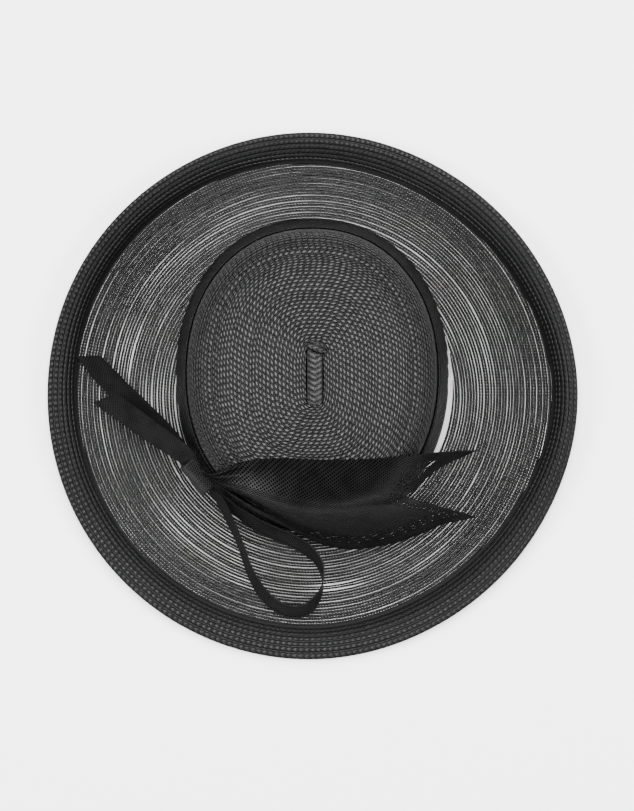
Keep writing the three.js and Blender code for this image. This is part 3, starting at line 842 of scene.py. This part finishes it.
def crown_surface(steps, shares, raised, wall):
    """Points of the crown at shares of the way from the tip's middle to the foot, raised off its surface. Its
    rows are offsets of the braid's straight start, so that they turn from long and narrow to oval."""
    outline = bearings(OUTLINE_POINTS)
    out, up, normal_out, normal_up, stub = crown_profile(shares)
    lift = wall + raised
    half_width = out * HEAD_HALF_WIDTH + stub * STUB_HALF_WIDTH + lift * normal_out
    half_depth = out * HEAD_HALF_DEPTH + stub * STUB_HALF_LENGTH + lift * normal_out
    height = HEADLINE_HEIGHT + SEAT_GAP + up * CROWN_HEIGHT + lift * normal_up
    power = OVAL_POWER + STUB_POWER * stub
    rows = []
    for row in range(len(shares)):
        distance = oval_radius(outline, half_width[row], half_depth[row], power[row])
        x, y = evenly_round(distance * np.cos(outline), distance * np.sin(outline), steps)
        side = CROWN_SIDE + stub[row] * STUB_SIDE
        back = CROWN_BACK + stub[row] * STUB_BACK
        rows.append(np.stack([x + side, y + back, np.full(steps, height[row])], -1))
    return np.stack(rows, 1)


def evenly_round(x, y, count):
    """Points at equal distances along a closed line."""
    x, y = np.append(x, x[0]), np.append(y, y[0])
    length = np.concatenate([[0], np.cumsum(np.hypot(np.diff(x), np.diff(y)))])
    wanted = np.arange(count) / count * length[-1]
    return np.interp(wanted, length, x), np.interp(wanted, length, y)


def crown():
    """Rows of straw braid outside, and the same rows flatter inside."""
    rows = int(crown_way()[1][-1] / CROWN_ROW)
    points = rows * CROWN_ROW_POINTS
    position = np.arange(points + 1) / CROWN_ROW_POINTS
    relief = CROWN_RELIEF * np.sqrt(np.abs(np.sin(math.pi * position)))
    outside = crown_surface(CROWN_STEPS, position / rows, relief, CROWN_WALL - CROWN_RELIEF)
    inner_rows = np.linspace(1, 0, rows + 1)
    inside = crown_surface(CROWN_STEPS, inner_rows, np.zeros(rows + 1), 0)
    ring = np.linalg.norm(np.roll(outside, -1, 0) - outside, axis=2).sum(0)
    row_of = np.floor(np.arange(points) / CROWN_ROW_POINTS).astype(int)
    middle = np.minimum(row_of * CROWN_ROW_POINTS + CROWN_ROW_POINTS // 2, points)
    outer_cells = np.maximum(np.round(ring[middle] / CROWN_CELL), LEAST_CELLS)
    inner_cells = outer_cells[::CROWN_ROW_POINTS][::-1]
    everything = np.concatenate([outside, inside], 1)
    cells = np.concatenate([outer_cells, [outer_cells[-1]], inner_cells])
    across = np.concatenate([position, inner_rows * rows])
    shape = Shape()
    shape.grid(everything, np.linspace(0, 1, CROWN_STEPS + 1), across, cells, around=True)
    first = np.arange(CROWN_STEPS) * everything.shape[1]
    for cap in (first, first + everything.shape[1] - 1):
        shape.cap(cap)
    return shape.object("straw_crown", STRAW, ("crown",))


def crown_stub():
    """The braid's straight start at the middle of the crown, with its end folded into a knob."""
    shape = Shape()
    top = HEADLINE_HEIGHT + SEAT_GAP + CROWN_HEIGHT + CROWN_WALL
    middle = (CROWN_SIDE + STUB_SIDE, CROWN_BACK + STUB_BACK)
    stub_bar(shape, middle, top)
    stub_knob(shape, middle, top)
    return shape.object("crown_start", STUB)


def stub_bar(shape, middle, top):
    y = np.linspace(-STUB_HALF_LENGTH, STUB_HALF_LENGTH, STUB_ROWS)[:, None]
    x = np.linspace(-1, 1, STUB_COLUMNS)[None, :]
    zigzag = np.sin(y / STUB_CELL * TAU) * STUB_ZIGZAG
    cords = sum(high * hill(x, at, width) for at, width, high in STUB_CORDS)
    plait = sum(high * hill(x, at + zigzag, width) for at, width, high in STUB_PLAITS)
    relief = STUB_FLOOR + (1 - STUB_FLOOR) * np.maximum(cords, STUB_PLAIT_SHARE * plait)
    height = STUB_RAISE * relief * (1 - x**STUB_EDGE_POWER)
    height = height * (1 - (np.abs(y) / STUB_HALF_LENGTH) ** STUB_END_POWER)
    grid = np.stack(np.broadcast_arrays(
        middle[0] + x * STUB_HALF_WIDTH,
        middle[1] + y,
        top - STUB_SINK + height,
    ), -1)
    below = grid[:, ::-1].copy()
    below[..., 2] = top - 2 * STUB_SINK
    across = (np.concatenate([x[0], x[0, ::-1], [-1]]) + 1) / 2
    shape.grid(np.concatenate([grid, below], 1), y[:, 0] / STUB_CELL, across, through=True, caps=True)


def stub_knob(shape, middle, top):
    along = np.linspace(-1, 1, KNOB_ROWS)
    turn = np.arange(KNOB_COLUMNS) / KNOB_COLUMNS * TAU
    girth = np.sqrt(np.clip(1 - along**2, KNOB_TIP, 1))[:, None]
    x, y = KNOB_HALF_WIDTH * along[:, None], KNOB_HALF_DEPTH * girth * np.cos(turn)
    lean = math.radians(KNOB_LEAN)
    knob = np.stack(np.broadcast_arrays(
        middle[0] + KNOB_SIDE + x * math.cos(lean) - y * math.sin(lean),
        middle[1] + STUB_HALF_LENGTH + x * math.sin(lean) + y * math.cos(lean),
        top + KNOB_RAISE * girth * np.maximum(np.sin(turn), KNOB_UNDER),
    ), -1)
    across = np.linspace(0, KNOB_BRAIDS, KNOB_COLUMNS + 1)
    shape.grid(knob, x[:, 0] / STUB_CELL, across, through=True, caps=True)


def rim_section(bearing, way, raised):
    """The straw band's upper side (raised from 0 up) or underside (raised minus one wall)."""
    inner = reach_to(valley_radius_at, bearing)[:, None]
    outer = reach_to(rim_radius_at, bearing)[:, None]
    x, y = plan(bearing, outer[:, 0])
    rise = (RIM_RISE * wave_at("rise", np.arctan2(y, x)))[:, None]
    foot = SHEER_WALL + SEAT_GAP
    turn = inner + (outer - inner) * RIM_CURL
    t = way[None, :]
    distance = (1 - t) ** 2 * inner + 2 * t * (1 - t) * turn + t**2 * outer
    height = foot + rise * (2 * t * (1 - t) + t**2)
    run = 2 * (1 - t) * (turn - inner) + 2 * t * (outer - turn)
    climb = 2 * (1 - t) * rise
    length = np.hypot(run, climb)
    lift = RIM_WALL + raised
    return placed(bearing, distance - lift * climb / length, height + lift * run / length)


def rim():
    """Rows of plaited straw, each plait raised, over a smooth fold at the inner edge."""
    steps = RIM_CELLS * RIM_CELL_POINTS
    bearing = bearings(steps)
    cell = np.arange(steps)[:, None] / RIM_CELL_POINTS
    position = np.arange(RIM_ROWS * RIM_ROW_POINTS + 1) / RIM_ROW_POINTS
    part = np.abs(np.sin(math.pi * position))[None, :]
    lean = RIM_LEAN * np.abs(np.mod(position, 1) * 2 - 1)[None, :]
    plait = np.abs(np.sin(math.pi * (cell + lean)))
    relief = RIM_RELIEF * (np.sqrt(part) * (1 - RIM_PLAIT + RIM_PLAIT * plait) - 1)
    way = RIM_FOLD + (1 - RIM_FOLD) * position / RIM_ROWS
    rows = rim_section(bearing, way, relief)
    fold_way = np.arange(FOLD_POINTS) / FOLD_POINTS * RIM_FOLD
    fold = rim_section(bearing, fold_way, -RIM_RELIEF * np.ones((1, FOLD_POINTS)))
    under_way = np.linspace(1, 0, RIM_ROWS * RIM_UNDER_POINTS + 1)
    under = rim_section(bearing, under_way, -RIM_WALL * np.ones((1, len(under_way))))
    points = np.concatenate([fold, rows, under], 1)
    across = np.concatenate([[FOLD_ROW] * FOLD_POINTS, position, under_way * RIM_ROWS, [0]])
    cells = np.full(points.shape[1], float(RIM_CELLS))
    around = np.linspace(0, 1, steps + 1)
    shape = Shape()
    shape.grid(points, around, across, cells, around=True, through=True)
    return shape.object("straw_rim", PLAIT, ("rim_band",))


def wander(random, count, knots):
    """A smooth closed line of random values from 0 to 1."""
    values = random.random(knots)
    turn = np.arange(count) / count * knots
    row = np.floor(turn).astype(int)
    part = (1 - np.cos(math.pi * (turn - row))) / 2
    return values[row % knots] * (1 - part) + values[(row + 1) % knots] * part


def sheer_brim():
    """Strands of flat braid in rings round the brim, with gaps that widen and close along them."""
    random = np.random.default_rng(SHEER_SEED)
    bearing = bearings(SHEER_STEPS)
    first = HEAD_HALF_WIDTH - CROWN_BACK
    count = int((RIM_RADIUS - first) / SHEER_PITCH)
    gaps = []
    for row in range(count + 1):
        fine, broad = (wander(random, SHEER_STEPS, knots) for knots in GAP_KNOTS)
        gaps.append(GAPS[row % 2] * (GAP_EVEN + GAP_VARIES * fine * broad))
    sway = [SHEER_SWAY * (wander(random, SHEER_STEPS, SWAY_KNOTS) - 0.5) for _ in range(count + 1)]
    shape = Shape()
    slot_inner, slot_outer, slotted = slot_edges(bearing)
    head_edge, lap_edge = head_edge_at(bearing), lap_radius_at(bearing) - STRAND_CLEAR
    reach = wave_at("reach", bearing)
    back = 1 - GAP_BACK * np.clip(np.sin(bearing), 0, 1)
    for row in range(count):
        middle = first + (row + 0.5) * SHEER_PITCH
        share = back * np.clip((valley_radius_at(bearing) - middle) / GAP_FADE, GAP_LEAST, 1)
        low = (middle - SHEER_PITCH / 2 + sway[row] + gaps[row] * share / 2) * reach
        high = (middle + SHEER_PITCH / 2 + sway[row + 1] - gaps[row + 1] * share / 2) * reach
        low, high = np.maximum(low, head_edge), np.minimum(high, lap_edge)
        beyond = np.where(slotted, np.maximum(low, slot_outer), low)
        before = np.where(slotted, np.minimum(high, slot_inner), low)
        for inner, outer in ((beyond, high), (low, before)):
            for run in runs(outer - inner > STRAND_LEAST):
                strand(shape, bearing[run], inner[run], outer[run], middle, len(run) == SHEER_STEPS)
    return shape.object("sheer_brim_strands", SHEER, ("sheer_brim",))


def slot_edges(bearing):
    """Radii about the brim's middle of the slot's two edges, and where there is a slot."""
    edges = []
    for share in (0, 1):
        radius = np.full_like(bearing, HEAD_HALF_WIDTH)
        for _ in range(EDGE_ROUNDS):
            heading, distance = from_crown(bearing, radius)
            slot = (np.degrees(heading) - SLOT_FROM) / (SLOT_TO - SLOT_FROM)
            deep = SLOT_WIDTH * np.sin(math.pi * np.clip(slot, 0, 1))
            line = oval_radius(heading, HEAD_HALF_WIDTH + SLOT_INSET, HEAD_HALF_DEPTH + SLOT_INSET)
            radius = radius + line + share * deep - distance
        edges.append(radius)
    return edges[0], edges[1], (slot > 0) & (slot < 1)


def from_crown(bearing, radius):
    x, y = radius * np.cos(bearing) - CROWN_SIDE, radius * np.sin(bearing) - CROWN_BACK
    return np.arctan2(y, x), np.hypot(x, y)


def head_edge_at(bearing):
    """Radii about the brim's middle of the head opening's edge."""
    radius = np.full_like(bearing, HEAD_HALF_WIDTH)
    for _ in range(EDGE_ROUNDS):
        heading, distance = from_crown(bearing, radius)
        radius = radius + oval_radius(heading, HEAD_HALF_WIDTH, HEAD_HALF_DEPTH) + STRAND_CLEAR - distance
    return radius


def runs(kept):
    """Lists of neighbouring indices that are kept, going round past the end."""
    count = len(kept)
    if kept.all():
        return [np.arange(count)]
    start = int(np.argmin(kept))
    order = (np.arange(count) + start) % count
    found, current = [], []
    for index in order:
        if kept[index]:
            current.append(index)
        elif current:
            found.append(np.array(current))
            current = []
    if current:
        found.append(np.array(current))
    return [run for run in found if len(run) >= STRAND_STEPS]


def strand(shape, bearing, low, high, middle, whole):
    """One strand between two radii, all the way round or capped at both ends."""
    lines = []
    for share, drop in STRAND_SECTION:
        radius = low * (1 - share) + high * share
        x, y = radius * np.cos(bearing), radius * np.sin(bearing)
        heading, distance = from_crown(bearing, radius)
        lines.append(np.stack([x, y, sheer_top(heading, distance) - drop * SHEER_THICK], -1))
    along = np.unwrap(bearing) * middle / SHEER_BEAD
    if whole:
        along = np.append(along, along[-1] + along[1] - along[0])
    across = np.array([share for share, _ in STRAND_SECTION] + [0])
    shape.grid(np.stack(lines, 1), along, across, around=whole, through=True, caps=not whole)


def hat_band():
    """The ribbon round the crown's foot, with rolled edges."""
    bearing = bearings(HAT_BAND_STEPS)
    up = np.linspace(0, 1, HAT_BAND_COLUMNS)
    foot = sheer_top(bearing, hat_band_distance(bearing, 0.0, 0.0)) + SEAT_GAP
    top = HEADLINE_HEIGHT + HAT_BAND_HEIGHT
    height = foot[:, None] + (top - foot)[:, None] * up[None, :]
    roll = ROLL * (hill(up, 1, ROLL_WIDTH) + hill(up, 0, ROLL_WIDTH))
    ripple = RIPPLE * np.sin(bearing * RIPPLES)[:, None] * np.sin(math.pi * up)[None, :]
    sides = []
    for wall, swell in ((HAT_BAND_INNER, 0), (HAT_BAND_WALL * HAT_BAND_OUTER, 1)):
        distance = np.stack([hat_band_distance(bearing, share, wall) for share in up], 1)
        sides.append(placed(bearing, distance + swell * (roll + ripple), height))
    points = np.concatenate([sides[0], sides[1][:, ::-1]], 1)
    across = np.concatenate([up, up[::-1], [0]])
    around = np.linspace(0, HERRINGBONES, HAT_BAND_STEPS + 1)
    shape = Shape()
    shape.grid(points, around, across, around=True, through=True)
    piece = shape.object("crown_ribbon", HERRINGBONE, ("hat_band",))


def thicken(middle, wall):
    """A closed section round each line of a grid: up one side, and back on the other."""
    along = np.gradient(middle, axis=0)
    across = np.gradient(middle, axis=1)
    normal = unit(np.cross(along, across))
    half = np.broadcast_to(wall, middle.shape[:2])[..., None] / 2
    return np.concatenate([middle + normal * half, (middle - normal * half)[:, ::-1]], 1)


def strip_middle(rows, strip, steps, columns):
    """A strip's middle surface, from its table. Edge -1 is its right side and 1 its left."""
    table = np.array(rows, float)
    knot = knot_centre()
    angle = math.radians(strip["heading"])
    ahead = np.array([math.cos(angle), math.sin(angle)])
    left = np.array([-math.sin(angle), math.cos(angle)])
    centres = knot[:2] + strip["length"] * (table[:, :1] * ahead + table[:, 1:2] * left)

    def edges(centre, row, offsets):
        forward = unit(np.gradient(centre, axis=0))
        roll = np.radians(row[:, 3])[:, None]
        half = (row[:, 4] * STRIP_WIDTH / 2)[:, None]
        side = np.stack([-forward[:, 1], forward[:, 0]], -1)
        flat = side * np.cos(roll) * half + forward * row[:, 5:6] * strip["length"]
        plan_points = centre[:, None, :] + offsets[None, :, None] * flat[:, None, :]
        drop = -np.sin(roll) * half * offsets[None, :]
        return plan_points, drop

    spots, drops = edges(centres, table, np.array([-1.0, 0.0, 1.0]))
    held = held_at(spots[..., 0], spots[..., 1], SEAT_GAP + RIBBON_WALL) - drops
    heights = np.maximum(table[:, 2] * knot[2], held.max(1))
    t = np.linspace(0, len(table) - 1, steps)
    offsets = np.linspace(-1, 1, columns)
    spots, drops = edges(spread(centres, t), spread(table, t), offsets)
    height = spread(heights, t)[:, None] + drops
    return np.concatenate([spots, height[..., None]], -1), offsets


def strip_piece(name, rows, strip, steps, node, hems, material):
    """A strip of ribbon with a raised hem along each edge that hems names, and a folded end."""
    middle, offsets = strip_middle(rows, strip, steps, STRIP_COLUMNS)
    wall = STRIP_THICK + STRIP_HEM * sum(hill(offsets, hem, STRIP_HEM_WIDTH) for hem in hems)
    sheet = thicken(middle, wall[None, :])
    lengths = np.linalg.norm(np.diff(middle[:, STRIP_COLUMNS // 2], axis=0), axis=1)
    along = np.concatenate([[0], np.cumsum(lengths)])
    across = (offsets + 1) / 2 * STRIP_WIDTH
    shape = Shape()
    shape.grid(sheet, along, np.concatenate([across, across[::-1], [0]]), through=True, caps=True)
    return shape.object(name, material, (node,))


def centripetal(points, t):
    """A centripetal spline through the points, at shares t of the whole."""
    points = np.asarray(points, float)
    last = len(points) - 1
    result = []
    for share in np.atleast_1d(t):
        position = share * last
        row = min(int(position), last - 1)
        w = position - row
        p1, p2 = points[row], points[row + 1]
        p0 = points[row - 1] if row > 0 else 2 * points[0] - points[1]
        p3 = points[row + 2] if row + 2 <= last else 2 * points[last] - points[last - 1]
        d0, d1, d2 = (max(np.linalg.norm(b - a) ** 0.5, 1e-4) for a, b in ((p0, p1), (p1, p2), (p2, p3)))
        m1 = ((p1 - p0) / d0 - (p2 - p0) / (d0 + d1) + (p2 - p1) / d1) * d1
        m2 = ((p2 - p1) / d1 - (p3 - p1) / (d1 + d2) + (p3 - p2) / d2) * d1
        cubic = (2 * p1 - 2 * p2 + m1 + m2) * w**3 + (3 * p2 - 3 * p1 - 2 * m1 - m2) * w**2
        result.append(cubic + m1 * w + p1)
    return np.array(result)


def fan_edge(rows, root_height):
    root = knot_centre() + np.array([0, 0, root_height])
    table = np.array(rows)
    points = np.stack(
        [
            CROWN_SIDE + table[:, 0] * HEAD_HALF_WIDTH,
            CROWN_BACK + table[:, 1] * HEAD_HALF_DEPTH,
            HEADLINE_HEIGHT + table[:, 2] * FAN_HEIGHT,
        ],
        -1,
    )
    return np.vstack([root, points])


def unit(vectors):
    """The vectors at length 1."""
    return vectors / np.maximum(np.linalg.norm(vectors, axis=-1, keepdims=True), 1e-12)


def hill(value, middle, width):
    return np.exp(-(((value - middle) / width) ** 2))


def patch_at(way, c, across, width, along, length):
    return hill(c, across, width) * hill(way, along, length)


def fan_fold(way, c):
    """Height of the folds along one column: gathers and a crease at the knot, and broad folds beyond."""
    start = np.clip(way / FAN_GATHER_START, 0, 1)
    high, count, length = FAN_GATHER
    gathers = high * np.sin(c * count * math.pi) * hill(way, 0, length)
    crease = FAN_CREASE[0] * patch_at(way, c, *FAN_CREASE[1:])
    return (gathers + crease) * start + sum(fold[0] * patch_at(way, c, *fold[1:]) for fold in FAN_FOLDS)


def fan_middle(steps, columns):
    """The wide end's middle surface, the same flatter for its weave, the columns' places and its shade."""
    upper, lower = fan_edge(FAN_UPPER_EDGE, FAN_ROOT / 2), fan_edge(FAN_LOWER_EDGE, -FAN_ROOT / 2)
    column = np.linspace(0, 1, columns)
    side = np.where(column < FAN_NOTCH_AT, FAN_NOTCH_AT, 1 - FAN_NOTCH_AT)
    reach = 1 - FAN_NOTCH * (1 - np.abs(column - FAN_NOTCH_AT) / side)
    lines, folds, shade = [], [], []
    for share, c in zip(reach, column):
        way = np.linspace(0, 1, steps) * share
        top, bottom = centripetal(upper, way), centripetal(lower, way)
        point = top * (1 - c) + bottom * c
        fallen = top[:, 2] + (bottom[:, 2] - top[:, 2]) * c**FAN_FALL
        held = held_at(point[:, 0], point[:, 1], FAN_CLEAR)
        point[:, 2] = np.maximum(fallen, held)
        lines.append(point)
        folds.append(fan_fold(way, c))
        dips = sum(patch_at(way, c, *dip) for dip in FAN_DIPS)
        lit = PLAIN_SHADE * (1 - dips + folds[-1] / FOLD_SHADE)
        shade.append(np.clip(lit + (1 - PLAIN_SHADE) * patch_at(way, c, *FAN_SWELL), DARKEST, 1))
    middle = np.stack(lines, 1)
    middle[..., 2] = smoothed(middle[..., 2], FAN_SMOOTH)
    flatter = middle * np.array([1, 1, WEAVE_RISE])
    middle[..., 2] += np.stack(folds, 1)
    return middle, flatter, column, np.stack(shade, 1)


def smoothed(field, reach):
    """Each value of a grid averaged with those around it."""
    shares = np.hanning(2 * reach + 3)[1:-1]
    shares /= shares.sum()
    for _ in range(2):
        padded = np.pad(field, ((reach, reach), (0, 0)), mode="edge")
        field = sum(share * padded[step : step + field.shape[0]] for step, share in enumerate(shares)).T
    return field


def fan():
    """The bow's wide end, open mesh between its hems."""
    columns, steps = FAN_COLUMNS, FAN_STEPS
    middle, flatter, column, shade = fan_middle(steps, columns)
    wall = FAN_THICK + FAN_HEM * sum(hill(column, *hem) for hem in FAN_HEMS)
    sheet = thicken(middle, wall[None, :])
    along, across = lengths_along(flatter, 0), lengths_along(flatter, 1)
    to_end = END_SHARE * (1 - np.linspace(0, 1, steps))[:, None] * fan_end_distance(middle)[None, :]
    weave = across - across[:, columns // 2 : columns // 2 + 1]
    more = np.stack([along, weave, to_end, across[:, -1:] - across, shade, across], -1)
    more = np.concatenate([more, more[:, ::-1]], 1)
    shape = Shape()
    shape.grid(sheet, along[:, 0], np.zeros(2 * columns + 1), through=True, caps=True, more=more)
    return shape.object("bow_wide_end", MESH, ("bow_fan",))


def lengths_along(middle, axis):
    """Each point's distance from the grid's first line, along its rows or columns."""
    steps = np.linalg.norm(np.diff(middle, axis=axis), axis=2)
    first = np.zeros_like(np.take(steps, [0], axis))
    return np.concatenate([first, np.cumsum(steps, axis=axis)], axis)


def fan_end_distance(middle):
    """Each column's length times its slope to the cut, so that a share of it is the distance to the cut."""
    lengths = np.linalg.norm(np.diff(middle, axis=0), axis=2).sum(0)
    cut = unit(np.gradient(middle[-1], axis=0))
    line = unit(middle[-1] - middle[-FAN_CUT_ROWS])
    return lengths * np.linalg.norm(np.cross(line, cut), axis=1)


def knot():
    """Ribbon wound round the bow's middle: two turns side by side, each with raised edges."""
    shape = Shape()
    angle = math.radians(KNOT_BEARING)
    outward = np.array([math.cos(angle), math.sin(angle), 0])
    sideways = np.array([-math.sin(angle), math.cos(angle), 0])
    centre = knot_centre() + KNOT_STAND * outward
    turn = np.arange(KNOT_STEPS) / KNOT_STEPS * TAU
    across = np.linspace(-1, 1, KNOT_COLUMNS)
    flat = np.sqrt(np.clip(1 - np.abs(across) ** KNOT_EDGE_POWER, 0, 1))
    hems = hill(across, -KNOT_HEM_AT, KNOT_HEM_WIDTH) + hill(across, KNOT_HEM_AT, KNOT_HEM_WIDTH)
    girth = TAU * (KNOT_WRAP_DEPTH + KNOT_HALF_HEIGHT) / 2
    weave = STRIP_WIDTH * (0.5 + KNOT_WEAVE_SHARE * across)
    for middle, half, big, lean in KNOT_TURNS:
        swell = big * (1 - KNOT_ROUND + KNOT_ROUND * flat) + KNOT_HEM * hems
        ripple = 1 + KNOT_RIPPLE * np.sin(turn * KNOT_RIPPLES + middle * KNOT_RIPPLE_TURN)
        swell = swell[None, :] * ripple[:, None]
        depth = KNOT_WRAP_DEPTH * np.cos(turn)[:, None] * swell
        height = KNOT_HALF_HEIGHT * np.sin(turn)[:, None] * swell
        along = middle + half * across[None, :] + lean * np.sin(turn)[:, None]
        points = centre + depth[..., None] * outward + along[..., None] * sideways
        points = points + height[..., None] * np.array([0, 0, 1])
        first = shape.count
        shape.grid(points, np.linspace(0, girth, KNOT_STEPS + 1), weave, around=True)
        for column in (0, KNOT_COLUMNS - 1):
            shape.cap(first + np.arange(KNOT_STEPS) * KNOT_COLUMNS + column)
    return shape.object("bow_wrap", WRAP, ("bow_knot",))


def floor_and_lights():
    mesh = bpy.data.meshes.new("floor")
    h = FLOOR_HALF
    mesh.from_pydata([(-h, -h, 0), (h, -h, 0), (h, h, 0), (-h, h, 0)], [], [(0, 1, 2, 3)])
    mesh.materials.append(plain_floor())
    floor = bpy.data.objects.new("floor", mesh)
    bpy.context.scene.collection.objects.link(floor)
    for name, place, size, power in LAMPS:
        light = bpy.data.lights.new(name, "AREA")
        light.shape, light.size, light.energy = "DISK", size, power
        lamp = bpy.data.objects.new(name, light)
        lamp.location = place
        lamp.rotation_mode = "QUATERNION"
        lamp.rotation_quaternion = (Vector(LAMP_AIM) - Vector(place)).to_track_quat("-Z", "Y")
        bpy.context.scene.collection.objects.link(lamp)
    world = bpy.data.worlds.new("studio")
    world.use_nodes = True
    world.node_tree.nodes["Background"].inputs[0].default_value = (1, 1, 1, 1)
    world.node_tree.nodes["Background"].inputs[1].default_value = WORLD_LIGHT
    bpy.context.scene.world = world


def camera():
    data = bpy.data.cameras.new("camera")
    data.sensor_width = CAMERA_SENSOR
    data.lens = CAMERA_LENS
    data.clip_start, data.clip_end = CAMERA_CLIP
    made = bpy.data.objects.new("camera", data)
    made.location = CAMERA_AT
    bpy.context.scene.collection.objects.link(made)
    bpy.context.scene.camera = made


camera()
floor_and_lights()
STRAW = straw("straw_crown", CROWN_SHADE_ROW)
STUB = straw("straw_start")
PLAIT = straw("straw_plait")
SHEER = sheer()
HERRINGBONE = herringbone()
RIBBON = crin("crin_ribbon")
WRAP = crin("crin_wrap_lit")
LINED = crin("crin_lined", lined=True)
MESH = crin("crin_mesh", mesh=True)

crown()
crown_stub()
rim()
sheer_brim()
hat_band()
knot()
back = strip_piece("bow_back_tail", BACK_TAIL_ROWS, BACK_TAIL, TAIL_STEPS, "bow_tail_back", TAIL_HEMS, RIBBON)
front = strip_piece(
    "bow_front_tail", FRONT_TAIL_ROWS, FRONT_TAIL, TAIL_STEPS, "bow_tail_front", TAIL_HEMS, RIBBON
)
loop = strip_piece("bow_side_loop", LOOP_ROWS, LOOP, LOOP_STEPS, "bow_loop", LOOP_HEMS, LINED)
wide = fan()
